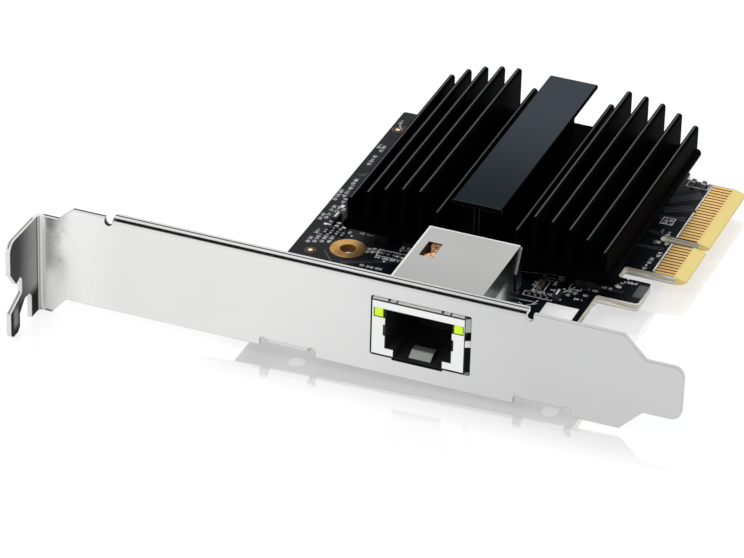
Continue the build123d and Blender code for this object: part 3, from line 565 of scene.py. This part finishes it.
def makeJackCan(finish):
    material, tree, shader = newMaterial("jackCan")
    along, outward, high = placeOf(tree)
    faceAlong, faceOut, faceHigh = facingOf(tree)
    # Painted shade: the top is darker towards the front
    colour = blendColours(tree, fade(tree, outward, *finish["topDeep"]), finish["topFrontShade"], finish["top"])
    # Painted light: the front is lighter than the top, with a painted shade line along its top and right
    onFront = fade(tree, faceOut, *finish["frontTurn"])
    colour = blendColours(tree, onFront, colour, finish["front"])
    borderShade = either(tree, fade(tree, high, *finish["borderHigh"]), fade(tree, along, *finish["borderAlong"]))
    colour = blendColours(tree, both(tree, borderShade, onFront), colour, finish["edge"])
    # Painted highlights on the rims of the top
    paintedRim = either(tree, fade(tree, outward, *finish["rimBack"]), fade(tree, along, *finish["rimLeft"]))
    paintedRim = both(tree, paintedRim, fade(tree, faceHigh, *finish["upTurn"]))
    colour = blendColours(tree, paintedRim, colour, finish["paintedRim"])
    # Painted shade on the right side, painted light low down and a painted highlight on the lap
    onSide = fade(tree, faceAlong, *finish["sideTurn"])
    low = both(
        tree, fade(tree, high, *finish["sideHigh"]), fade(tree, outward, *finish["sideBack"]),
        fade(tree, outward, *finish["sideFront"]),
    )
    lapHighlight = fade(tree, along, *finish["lapAlong"])
    sideLightAndShade = blendColours(tree, low, finish["side"], finish["sideLight"])
    sideLightAndShade = blendColours(tree, lapHighlight, sideLightAndShade, finish["paintedRim"])
    colour = blendColours(tree, onSide, colour, sideLightAndShade)
    # Painted highlight: the sloping leaves are lighter
    atFront = fade(tree, outward, *finish["leafDepth"])
    leaf = both(tree, band(tree, faceHigh, *finish["leafTurn"]), atFront)
    colour = blendColours(tree, leaf, colour, finish["leaf"])
    sideLeaf = both(tree, band(tree, faceAlong, *finish["sideLeafTurn"]), atFront)
    sideLeafHighlight = blendColours(
        tree, fade(tree, high, *finish["leafHigh"]), finish["leafUpper"], finish["leafLower"],
    )
    colour = blendColours(tree, sideLeaf, colour, sideLeafHighlight)
    # Painted shade across the top leaves, where the slots are
    marks = either(tree, *[band(tree, along, place, finish["markHalf"]) for place in finish["marks"]])
    marks = both(tree, marks, atFront, fade(tree, faceHigh, *finish["markTurn"]))
    colour = blendColours(tree, marks, colour, finish["edge"])
    plain = either(tree, leaf, sideLeaf, both(tree, either(tree, low, lapHighlight), onSide))
    brushed = grain(tree, *finish["brush"])
    edge = roughen(tree, shader, brushed, finish["bump"])
    # Painted shade darkens the base colour on the rounded edges
    setSockets(tree, shader, {
        "Base Color": blendColours(tree, both(tree, edge, finish["edgeShadeShare"]), colour, finish["edge"]),
        "Metallic": spread(tree, plain, 1, 0),
        "Roughness": spread(tree, brushed, *finish["roughness"]),
    })
    return material


rampFinish = {
    # Painted light and shade: the slope is lighter, the flat darker and the rear black with shade
    "slope": (0.40, 0.42, 0.40),
    "flat": (0.12, 0.13, 0.12),
    "rear": (0.008, 0.008, 0.008),
    "flatReach": (2.5 * mm, 3.1 * mm),
    "rearShadeReach": (3.9 * mm, 4.5 * mm),
    "worn": (1400, (0.2, 1, 1)),
    "roughness": (0.25, 0.4),
    "metallic": 0.25,
    "bump": 0.15,
}


def makeRamp(finish):
    material, tree, shader = newMaterial("rampMetal")
    outward = placeOf(tree)[1]
    # Painted light on the slope, painted shade on the flat and the rear
    colour = blendColours(tree, fade(tree, outward, *finish["flatReach"]), finish["slope"], finish["flat"])
    worn = grain(tree, *finish["worn"])
    setSockets(tree, shader, {
        "Base Color": blendColours(tree, fade(tree, outward, *finish["rearShadeReach"]), colour, finish["rear"]),
        "Roughness": spread(tree, worn, *finish["roughness"]),
        "Metallic": finish["metallic"],
    })
    roughen(tree, shader, worn, finish["bump"])
    return material


glowFinish = {
    "colour": (0.52, 0.76, 0.004),
    "darker": (0.442, 0.646, 0.0034),
    "patches": 500,
    # Painted shade in the gap round the guide
    "paintedRim": (0.03, 0.045, 0.003),
    "rimStart": 0.20 * mm,
    "rimFull": 0.12 * mm,
    # Painted glow: the guide emits a little light
    "glow": 0.30,
    "roughness": 0.3,
    "bump": (900, 0.1),
}


def makeGlow(nodeName, finish):
    material, tree, shader = newMaterial(nodeName)
    along, outward, high = placeOf(tree)
    low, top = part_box(nodeName)
    start, full = finish["rimStart"], finish["rimFull"]
    # Painted shade: the gap round the guide is a dark line on the left, on the right and below
    paintedRim = either(
        tree, fade(tree, along, low[0] + start, low[0] + full), fade(tree, high, low[2] + start, low[2] + full),
        fade(tree, along, top[0] - start, top[0] - full),
    )
    plain = blendColours(tree, patches(tree, finish["patches"]), finish["colour"], finish["darker"])
    setSockets(tree, shader, {
        "Base Color": blendColours(tree, paintedRim, plain, finish["paintedRim"]),
        "Roughness": finish["roughness"],
        # Painted glow
        "Emission Color": blendColours(tree, paintedRim, finish["colour"], finish["paintedRim"]),
        "Emission Strength": finish["glow"],
    })
    scale, strength = finish["bump"]
    roughen(tree, shader, grain(tree, scale), strength)
    return material


windingFinish = {
    "gap": (0.26, 0.09, 0.03),
    "wire": (0.95, 0.58, 0.34),
    "strand": (2600, (1, 1, 0.25)),
    "strandTone": (0.35, 0.65),
    # Painted glow: the copper emits a little light
    "glow": 0.32,
    "metallic": 0.4,
    "roughness": 0.35,
    "bump": 0.8,
    "bumpDepth": 0.2 * mm,
}


def makeWinding(finish):
    material, tree, shader = newMaterial("copperWinding")
    strand = grain(tree, *finish["strand"])
    colour = blendColours(tree, fade(tree, strand, *finish["strandTone"]), finish["gap"], finish["wire"])
    setSockets(tree, shader, {
        "Base Color": colour,
        # Painted glow
        "Emission Color": colour,
        "Emission Strength": finish["glow"],
        "Metallic": finish["metallic"],
        "Roughness": finish["roughness"],
    })
    roughen(tree, shader, strand, finish["bump"], depth=finish["bumpDepth"])
    return material


blackPlastic = makePlain("blackPlastic", (0.012, 0.012, 0.013), (0.018, 0.018, 0.019), 0.42, 0.4)
goldContacts = makeMetal(
    "goldContacts", (0.92, 0.60, 0.22), (0.86, 0.52, 0.17), 0.28, scale=300, stretch=(0.1, 1, 1),
)
screwSteel = makeMetal("screwSteel", (0.52, 0.52, 0.52), (0.42, 0.42, 0.42), 0.28)
packageBlack = makePlain("packageBlack", (0.010, 0.010, 0.011), (0.016, 0.016, 0.017), 0.5, 0.35)
solder = makeMetal("solder", (0.62, 0.63, 0.64), (0.50, 0.51, 0.52), 0.3)
capacitorCeramic = makePlain("capacitorCeramic", (0.075, 0.045, 0.028), (0.05, 0.03, 0.018), 0.45)
resistorTop = makePlain("resistorTop", (0.014, 0.014, 0.015), (0.020, 0.020, 0.021), 0.4)
# Gold dots on the alignment marks, painted bright as a painted glint
goldDotAndGlint = makePlain("goldDotAndGlint", (0.95, 0.80, 0.48), (0.80, 0.58, 0.28), 0.4, 0.4, scale=1200)
haloBrown = makePlain("haloBrown", (0.16, 0.105, 0.060), (0.10, 0.065, 0.040), 0.5, 0.2)
padTin = makePlain("padTin", (0.78, 0.79, 0.79), (0.55, 0.56, 0.57), 0.4, 0.4, scale=1500)
headerWhite = makePlain("headerWhite", (0.80, 0.80, 0.78), (0.72, 0.72, 0.70), 0.5)
printInk = makePlain("printInk", (0.80, 0.82, 0.82), (0.45, 0.47, 0.48), 0.6, 0.3, scale=900)
traceMask = makePlain("traceMask", (0.075, 0.078, 0.086), (0.040, 0.042, 0.048), 0.35)

finishes = {
    "mounting_bracket": makePlatedSteel(steelFinish),
    "circuit_board": makeBoardMask(boardFinish),
    "edge_contacts_top": goldContacts,
    "edge_contacts_bottom": goldContacts,
    "mounting_hole_ring": makeMetal("ringGold", (0.66, 0.38, 0.12), (0.26, 0.12, 0.03), 0.34, scale=260),
    "alignment_marks": makeMetal("markCopper", (0.16, 0.08, 0.03), (0.10, 0.05, 0.02), 0.4, scale=500),
    "bracket_screws": screwSteel,
    "heat_sink": makeAnodised(anodisedFinish),
    "heat_sink_screws": screwSteel,
    "heat_sink_posts": makeMetal("postMetal", (0.055, 0.055, 0.055), (0.035, 0.035, 0.035), 0.45),
    "controller_package": packageBlack,
    "package_lid": makeMetal("lidMetal", (0.50, 0.50, 0.50), (0.42, 0.42, 0.42), 0.4),
    "thermal_pad": makePlain("padSoft", (0.30, 0.34, 0.38), (0.25, 0.29, 0.33), 0.8, 0.2),
    "jack_shield": makeJackCan(canFinish),
    "jack_housing": blackPlastic,
    "jack_contacts": makeMetal("contactWire", (0.80, 0.58, 0.28), (0.70, 0.50, 0.24), 0.25, scale=500),
    "jack_latch_ramp": makeRamp(rampFinish),
    "jack_light_left": makeGlow("jack_light_left", glowFinish),
    "jack_light_right": makeGlow("jack_light_right", glowFinish),
    "jack_coils": makeWinding(windingFinish),
    "jack_pins": solder,
    "memory_chip": packageBlack,
    "memory_pins": solder,
    "crystal": makeMetal("crystalCan", (0.60, 0.60, 0.58), (0.50, 0.50, 0.48), 0.3),
    "voltage_regulators": packageBlack,
    "power_inductors": makePlain("chokeBody", (0.014, 0.014, 0.015), (0.009, 0.009, 0.010), 0.6, 0.15),
    "pin_headers": blackPlastic,
    "capacitors": capacitorCeramic,
    "resistors": resistorTop,
    "board_sticker": makePlain("stickerPaper", (0.93, 0.93, 0.93), (0.88, 0.88, 0.88), 0.7, 0.3),
}
for nodeName, material in finishes.items():
    mesh = cadNodes[nodeName].data
    mesh.materials.clear()
    mesh.materials.append(material)
print("materials:", len(bpy.data.materials))


# Pieces

def addPiece(name, shape, materials):
    mesh = bpy.data.meshes.new(name)
    shape.to_mesh(mesh)
    shape.free()
    for material in materials:
        mesh.materials.append(material)
    piece = bpy.data.objects.new(name, mesh)
    bpy.context.collection.objects.link(piece)
    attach(piece, "root")
    return piece


# A point on the board's component side, in millimetres from the tab and the bracket's face
def onBoard(along, back, height):
    return Vector((tabX + along * mm, back * mm, boardTop + height * mm))


inkHeight = 0.02


def addMark(shape, along, back, length, depth, turn=0.0, height=inkHeight):  # a flat printed bar
    place = Matrix.Translation(onBoard(along, back, height)) @ Matrix.Rotation(radians(turn), 4, "Z")
    size = Matrix.Diagonal((length * mm, depth * mm, 1, 1))
    bmesh.ops.create_grid(shape, x_segments=1, y_segments=1, size=0.5, matrix=place @ size)


boardPrint = {
    "ink": 0.15,
    "strokePitch": 0.33,
    # Highest stroke, lowest and highest share of it, and how often a stroke is left out as a space
    "strokeHeight": 0.85,
    "strokeShare": (0.55, 1.0),
    "space": 5,
    "lineWidth": 0.195,
    "contactLineWidth": 0.27,
    # Along, back, number of strokes and turn of each short row of strokes
    "rows": [
        (38.9, 32.6, 7, 90), (40.0, 33.6, 10, 90), (41.2, 34.1, 10, 90), (42.4, 34.3, 9, 90),
        (39.1, 36.0, 5, 90), (37.8, 41.2, 8, 90), (38.7, 41.8, 7, 90), (38.5, 44.7, 7, 90),
        (39.5, 44.8, 8, 90), (40.5, 44.4, 7, 90), (37.6, 49.6, 13, 90), (38.7, 51.6, 15, 90),
        (39.4, 48.0, 6, 90), (38.5, 55.4, 7, 90), (38.4, 64.0, 12, 90), (38.6, 69.0, 9, 90),
        (37.7, 69.6, 5, 90), (38.0, 79.8, 5, 90), (50.0, 33.2, 6, 90), (50.9, 33.5, 6, 90),
        (51.8, 33.8, 5, 90), (53.2, 31.7, 8, 0), (55.6, 31.8, 5, 0), (52.6, 28.0, 13, 0), (47.8, 38.4, 9, 0),
        (44.6, 38.0, 4, 90), (58.6, 31.6, 6, 0), (59.8, 29.6, 4, 90), (61.4, 33.2, 6, 0), (81.3, 34.6, 6, 90),
        (82.8, 32.4, 9, 0), (84.4, 32.2, 8, 0), (83.2, 36.8, 5, 0), (84.6, 36.2, 5, 90), (85.4, 33.8, 6, 0),
        (87.9, 34.0, 7, 90), (88.9, 34.8, 6, 90), (90.1, 32.6, 5, 0), (91.2, 36.6, 8, 0), (93.4, 38.4, 6, 0),
        (95.0, 40.4, 6, 60), (97.0, 41.8, 6, 0), (91.0, 34.4, 4, 0), (96.4, 81.2, 8, 0), (95.3, 65.5, 4, 90),
        (96.2, 65.8, 4, 90), (95.9, 64.4, 6, 0), (97.3, 60.9, 5, 90), (96.6, 57.6, 4, 90),
        (98.1, 57.4, 3, 90), (97.4, 50.6, 7, 90), (97.2, 47.6, 3, 90), (98.1, 53.2, 6, 90),
    ],
    # Along, back, length and depth of the outlines round parts
    "outlines": [
        (55.9, 36.8, 1.6, 1.9), (54.4, 33.4, 5.0, 2.2), (83.2, 31.0, 5.4, 1.5), (83.6, 38.6, 3.6, 2.0),
        (82.6, 34.5, 1.9, 4.2), (88.4, 36.4, 2.2, 1.8), (95.7, 65.3, 2.2, 2.4), (96.6, 80.2, 4.0, 2.3),
    ],
    # Along, back, length and turn of single lines
    "lines": [
        (82.6, 27.2, 3.6, 40), (82.0, 26.8, 3.2, -30), (83.4, 28.4, 2.2, 70), (81.6, 25.0, 2.4, 12),
        (81.8, 28.6, 2.6, 4), (38.6, 77.9, 1.8, 120), (87.6, 35.2, 4.4, 62), (80.4, 38.2, 7.0, 12),
    ],
    # Along, back and length of the thick line beside the contacts
    "contactLines": [(99.0, 52.6, 10.6), (99.0, 65.3, 10.0), (99.0, 76.3, 10.4)],
    "dots": [
        (55.4, 35.4), (56.6, 33.1), (57.6, 33.0), (54.0, 30.8), (61.6, 28.4), (80.2, 41.6), (78.8, 41.0),
        (97.2, 48.8), (95.9, 42.8), (86.2, 33.2), (87.2, 31.2), (82.4, 37.6), (94.6, 81.4), (98.0, 81.0),
        (45.4, 36.8), (42.2, 44.8),
    ],
    "dotSize": 0.45,
    "dotSides": 12,
}


def addBoardPrint(setup):
    shape = bmesh.new()
    ink = setup["ink"]
    for along, back, strokes, turn in setup["rows"]:
        direction = Vector((cos(radians(turn)), sin(radians(turn))))
        for number in range(strokes):
            step = (number - (strokes - 1) / 2) * setup["strokePitch"]
            if number % setup["space"] == 3:
                continue
            low, high = setup["strokeShare"]
            tall = setup["strokeHeight"] * (low + (high - low) * ((number * 7 + strokes) % 3) / 2)
            addMark(shape, along + direction.x * step, back + direction.y * step, ink, tall, turn)
    for along, back, length, depth in setup["outlines"]:
        for side in (-1, 1):
            addMark(shape, along, back + side * depth / 2, length + ink, ink)
            addMark(shape, along + side * length / 2, back, ink, depth - ink)
    for along, back, length, turn in setup["lines"]:
        addMark(shape, along, back, length, setup["lineWidth"], turn)
    for along, back, length in setup["contactLines"]:
        addMark(shape, along, back, length, setup["contactLineWidth"], 90)
    for along, back in setup["dots"]:
        bmesh.ops.create_circle(
            shape, cap_ends=True, segments=setup["dotSides"], radius=setup["dotSize"] / 2 * mm,
            matrix=Matrix.Translation(onBoard(along, back, inkHeight)),
        )
    return addPiece("boardPrint", shape, [printInk])


tinnedPads = {
    "thick": 0.05,
    "rise": 0.015,
    "round": 0.02 * mm,
    # Along, back, length and depth of each bare pad
    "pads": [
        (39.50, 38.95, 0.75, 0.70), (40.70, 38.55, 0.70, 0.70), (41.60, 38.20, 0.60, 0.65),
        (42.55, 38.15, 0.60, 0.65), (40.70, 41.00, 0.45, 1.50), (38.55, 55.80, 0.55, 0.55),
        (39.90, 46.00, 0.70, 1.10), (52.70, 33.55, 0.75, 0.75), (53.85, 33.65, 0.60, 0.90),
        (55.35, 33.40, 0.80, 0.60), (56.30, 33.30, 0.70, 0.60), (55.50, 36.80, 0.42, 1.20),
        (56.35, 37.00, 0.42, 1.20), (82.60, 36.10, 0.60, 0.90), (84.50, 36.40, 0.45, 0.80),
        (86.65, 34.95, 0.45, 0.45), (95.20, 39.60, 0.90, 0.80), (95.70, 41.60, 0.36, 0.40),
        (96.35, 41.65, 0.36, 0.40), (97.10, 41.65, 0.36, 0.40),
    ],
}


def addTinnedPads(setup):
    shape = bmesh.new()
    for along, back, length, depth in setup["pads"]:
        size = Vector((length, depth, setup["thick"])) * mm
        addBlock(shape, onBoard(along, back, setup["rise"]), size, setup["round"])
    return addPiece("tinnedPads", shape, [padTin])


boardTraces = {
    "width": 0.16,
    "pitch": 0.55,
    "height": 0.012,
    # Start, end and number of side by side lines, from the tab and the bracket's face
    "runs": [
        ((93.6, 72.6), (98.4, 76.8), 4), ((93.6, 68.8), (98.4, 71.6), 4), ((93.6, 66.0), (98.4, 67.2), 3),
        ((93.6, 60.8), (98.4, 60.0), 2), ((93.4, 55.0), (98.2, 55.4), 2), ((38.2, 57.8), (43.6, 61.8), 2),
        ((38.4, 77.6), (43.4, 80.4), 2), ((47.0, 27.4), (54.8, 31.2), 2), ((42.8, 30.2), (45.4, 27.0), 1),
        ((81.6, 36.6), (91.6, 39.6), 2), ((86.8, 38.0), (96.6, 38.2), 2),
    ],
    "patch": (99.35, 39.6, 1.9, 4.4),
}


def addBoardTraces(setup):
    shape = bmesh.new()
    for start, end, count in setup["runs"]:
        first, last = Vector(start), Vector(end)
        run = last - first
        across = Vector((-run.y, run.x)).normalized() * setup["pitch"]
        turn = degrees(run.angle_signed(Vector((1, 0))))
        for number in range(count):
            middle = (first + last) / 2 + across * (number - (count - 1) / 2)
            addMark(shape, middle.x, middle.y, run.length, setup["width"], turn, setup["height"])
    addMark(shape, *setup["patch"], height=setup["height"])
    return addPiece("boardTraces", shape, [traceMask])


mergeReach = 0.001 * mm


def solidsOf(nodeName):  # the box of each solid in a CAD node, as middle and size
    copy = bmesh.new()
    copy.from_mesh(cadNodes[nodeName].data)
    bmesh.ops.remove_doubles(copy, verts=copy.verts, dist=mergeReach)
    left = set(copy.verts)
    boxes = []
    while left:
        edge = [left.pop()]
        solid = list(edge)
        while edge:
            near = {link.other_vert(vert) for vert in edge for link in vert.link_edges} & left
            left -= near
            solid += near
            edge = list(near)
        low = Vector([min(vert.co[axis] for vert in solid) for axis in range(3)])
        high = Vector([max(vert.co[axis] for vert in solid) for axis in range(3)])
        boxes.append(((low + high) / 2, high - low))
    copy.free()
    return sorted(boxes, key=lambda box: tuple(box[0]))


def addBlock(shape, middle, size, round, materialNumber=0):
    place = Matrix.Translation(middle) @ Matrix.Diagonal((*size, 1))
    made = bmesh.ops.create_cube(shape, size=1.0, matrix=place)
    faces = {face for vert in made["verts"] for face in vert.link_faces}
    for face in faces:
        face.material_index = materialNumber
    edges = {edge for vert in made["verts"] for edge in vert.link_edges}
    bmesh.ops.bevel(
        shape, geom=list(edges), offset=round, offset_type="OFFSET", segments=2, profile=0.5,
        affect="EDGES", material=-1, clamp_overlap=True,
    )


chipShape = {"end": 0.24, "bodyInset": 0.03 * mm, "round": 0.05 * mm}


# Chip parts with metal ends, one in the box of each solid
def addChips(name, nodeName, bodyMaterial, setup):
    shape = bmesh.new()
    for middle, size in solidsOf(nodeName):
        body = Vector(size)
        body.y *= 1 - 2 * setup["end"]
        body.x -= 2 * setup["bodyInset"]
        body.z -= setup["bodyInset"]
        addBlock(shape, middle - Vector((0, 0, setup["bodyInset"] / 2)), body, setup["round"] / 2)
        cap = Vector((size.x, size.y * setup["end"], size.z))
        for side in (-1, 1):
            addBlock(shape, middle + Vector((0, side * (size.y - cap.y) / 2, 0)), cap, setup["round"], 1)
    piece = addPiece(name, shape, [bodyMaterial, solder])
    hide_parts(nodeName)
    return piece


smallMarks = {
    # Width, rise above the board and outer and inner radius of the dot and ring on each alignment mark
    "dot": 0.86,
    "dotSides": 16,
    "dotRise": 0.07,
    "halo": (1.05, 0.86),
    "haloSides": 24,
    "haloRise": 0.03,
    # Width and length of the light strip on top of each header, of its own width and length
    "strip": (0.34, 0.72),
    "stripRise": 0.01 * mm,
}


def addSmallMarks(setup):
    shape = bmesh.new()
    for middle, size in solidsOf("alignment_marks"):
        place = Vector((middle.x, middle.y, boardTop + setup["dotRise"] * mm))
        dot = bmesh.ops.create_circle(
            shape, cap_ends=True, segments=setup["dotSides"], radius=setup["dot"] / 2 * mm,
            matrix=Matrix.Translation(place),
        )
        dot["verts"][0].link_faces[0].material_index = 2
        place.z = boardTop + setup["haloRise"] * mm
        edges = []
        for radius in setup["halo"]:
            circle = bmesh.ops.create_circle(
                shape, segments=setup["haloSides"], radius=radius * mm, matrix=Matrix.Translation(place),
            )
            edges += {edge for vertex in circle["verts"] for edge in vertex.link_edges}
        ring = bmesh.ops.bridge_loops(shape, edges=edges)["faces"]
        shape.normal_update()
        for face in ring:
            face.material_index = 1
            if face.normal.z < 0:
                face.normal_flip()
    for middle, size in solidsOf("pin_headers"):
        place = Vector((middle.x, middle.y, middle.z + size.z / 2 - setup["stripRise"]))
        block = Vector((size.x * setup["strip"][0], size.y * setup["strip"][1], 4 * setup["stripRise"]))
        addBlock(shape, place, block, setup["stripRise"])
    return addPiece("smallMarks", shape, [headerWhite, haloBrown, goldDotAndGlint])


jointShape = {"padReach": 0.55 * mm, "pinShare": 0.75, "high": 0.42 * mm, "sides": 14}


def addSolderJoints(setup):  # under the board, one on each pin
    shape = bmesh.new()
    for middle, size in solidsOf("jack_pins"):
        place = Matrix.Translation((middle.x, middle.y, boardUnder - setup["high"] / 2))
        bmesh.ops.create_cone(
            shape, cap_ends=False, segments=setup["sides"], radius1=size.x * setup["pinShare"],
            radius2=setup["padReach"], depth=setup["high"], matrix=place,
        )
    return addPiece("solderJoints", shape, [solder])


addBoardPrint(boardPrint)
addTinnedPads(tinnedPads)
addSmallMarks(smallMarks)
addSolderJoints(jointShape)
addBoardTraces(boardTraces)
addChips("chipCapacitors", "capacitors", capacitorCeramic, chipShape)
addChips("chipResistors", "resistors", resistorTop, chipShape)


# Floor, light and camera

floorSetup = {
    "size": 3.0,
    "under": -11.33 * mm,
    "tilt": 1.174,
    "lit": (0.80, 0.80, 0.80, 1),
    "faint": (0.24, 0.24, 0.24, 1),
    "white": (0.80, 0.80, 0.80, 1),
    # How much the floor mirrors, near the card and as seen at a low angle
    "gloss": (0.05, 0.42),
    "glossFront": (-11 * mm, -1.5 * mm),
    "glossSide": (-32 * mm, -18 * mm),
    "glossBack": (1.5 * mm, 10 * mm),
    "backShare": 0.42,
    "roughness": (0.06, 0.08),
    "tintFront": (1, 1, 1),
    "tintBack": (0.94, 0.97, 1.0),
    "glancing": (0.06, 0.34),
}


def addFloor(setup):
    material = bpy.data.materials.new("studioFloor")
    material.use_nodes = True
    tree = material.node_tree
    tree.nodes.clear()
    rays = put(tree, "LightPath").outputs
    seen = either(tree, rays["Is Camera Ray"], rays["Is Glossy Ray"], rays["Is Transmission Ray"])
    lit = put(tree, "BsdfDiffuse", {"Color": setup["lit"]}).outputs[0]
    faint = put(tree, "BsdfDiffuse", {"Color": setup["faint"]}).outputs[0]
    white = put(tree, "Emission", {"Color": setup["white"], "Strength": 1.0}).outputs[0]
    shown = put(tree, "AddShader", {0: faint, 1: white}).outputs[0]
    along, outward, high = placeOf(tree)
    behind = fade(tree, outward, *setup["glossBack"])
    tint = blendColours(tree, behind, setup["tintFront"], setup["tintBack"])
    blur = spread(tree, behind, *setup["roughness"])
    gloss = put(tree, "BsdfGlossy", {"Color": tint, "Roughness": blur}).outputs[0]
    near = both(
        tree, fade(tree, outward, *setup["glossFront"]), fade(tree, along, *setup["glossSide"]),
        spread(tree, behind, 1, setup["backShare"]),
        fade(tree, put(tree, "LayerWeight").outputs["Facing"], *setup["glancing"]),
    )
    shown = put(tree, "MixShader", {0: spread(tree, near, *setup["gloss"]), 1: shown, 2: gloss}).outputs[0]
    front = put(tree, "MixShader", {0: seen, 1: lit, 2: shown}).outputs[0]
    back = put(tree, "BsdfTransparent").outputs[0]
    under = put(tree, "NewGeometry").outputs["Backfacing"]
    final = put(tree, "MixShader", {0: under, 1: front, 2: back}).outputs[0]
    output = put(tree, "OutputMaterial")
    tree.links.new(final, output.inputs[0])
    shape = bmesh.new()
    bmesh.ops.create_grid(
        shape, x_segments=1, y_segments=1, size=setup["size"] / 2,
        matrix=Matrix.Translation((0, 0, setup["under"])) @ Matrix.Rotation(-radians(setup["tilt"]), 4, "Y"),
    )
    mesh = bpy.data.meshes.new("studioFloor")
    shape.to_mesh(mesh)
    shape.free()
    mesh.materials.append(material)
    floor = bpy.data.objects.new("studioFloor", mesh)
    bpy.context.collection.objects.link(floor)


lampSetup = {
    # Place, size and power of each soft lamp, aimed at the card
    "main": ((-0.45, -0.75, 1.10), 0.9, 9.0),
    "side": ((0.95, -0.15, 0.75), 0.8, 4.0),
    "rear": ((0.10, 1.10, 0.80), 1.0, 5.0),
    "worldFill": 0.55,
    "darkEnd": tuple(Vector((-0.31, -0.22, 0.92)).normalized()),
    "darkReach": (0.85, 0.93),
    "darkTone": (0.0, 0.0, 0.0),
}


def addLamps(setup):
    for name in ("main", "side", "rear"):
        place, size, power = setup[name]
        data = bpy.data.lights.new(name + "Lamp", "AREA")
        data.shape = "SQUARE"
        data.size = size
        data.energy = power
        lamp = bpy.data.objects.new(name + "Lamp", data)
        lamp.visible_glossy = False
        aim = Vector(place).to_track_quat("Z", "Y").to_matrix().to_4x4()
        lamp.matrix_world = Matrix.Translation(place) @ aim
        bpy.context.collection.objects.link(lamp)
    world = bpy.data.worlds.new("studio")
    bpy.context.scene.world = world
    world.use_nodes = True
    tree = world.node_tree
    tree.nodes.clear()
    rays = put(tree, "LightPath").outputs
    seen = either(tree, rays["Is Camera Ray"], rays["Is Glossy Ray"], rays["Is Transmission Ray"])
    white = put(tree, "Background", {"Color": (1, 1, 1, 1), "Strength": 1.0}).outputs[0]
    fill = put(tree, "Background", {"Color": (1, 1, 1, 1), "Strength": setup["worldFill"]}).outputs[0]
    # The dark end of the room lies in front of the bracket, above the floor: only metal shows it
    towards = put(tree, "TexCoord").outputs["Generated"]
    aim = put(tree, "VectorMath", {0: towards, 1: setup["darkEnd"]}, operation="DOT_PRODUCT").outputs["Value"]
    dark = fade(tree, aim, *setup["darkReach"])
    tone = blendColours(tree, both(tree, dark, rays["Is Glossy Ray"]), (1, 1, 1), setup["darkTone"])
    room = put(tree, "Background", {"Color": tone, "Strength": 1.0}).outputs[0]
    white = put(tree, "MixShader", {0: rays["Is Camera Ray"], 1: room, 2: white}).outputs[0]
    final = put(tree, "MixShader", {0: seen, 1: fill, 2: white}).outputs[0]
    output = put(tree, "OutputWorld")
    tree.links.new(final, output.inputs[0])


cameraSetup = {
    "place": (0.24966, -0.64112, 0.41781),
    "azimuth": 20.993,
    "elevation": 30.763,
    "roll": 1.634,
    "lens": 226.94,
    "sensor": 36.0,
}


def addCamera(setup):
    data = bpy.data.cameras.new("photoCamera")
    data.lens = setup["lens"]
    data.sensor_width = setup["sensor"]
    data.clip_start = 0.02
    camera = bpy.data.objects.new("photoCamera", data)
    camera.matrix_world = (
        Matrix.Translation(setup["place"])
        @ Matrix.Rotation(radians(setup["azimuth"]), 4, "Z")
        @ Matrix.Rotation(radians(90 - setup["elevation"]), 4, "X")
        @ Matrix.Rotation(radians(setup["roll"]), 4, "Z")
    )
    bpy.context.collection.objects.link(camera)
    bpy.context.scene.camera = camera


addFloor(floorSetup)
addLamps(lampSetup)
addCamera(cameraSetup)
bpy.context.scene.view_settings.view_transform = "Standard"
print("studio ready")
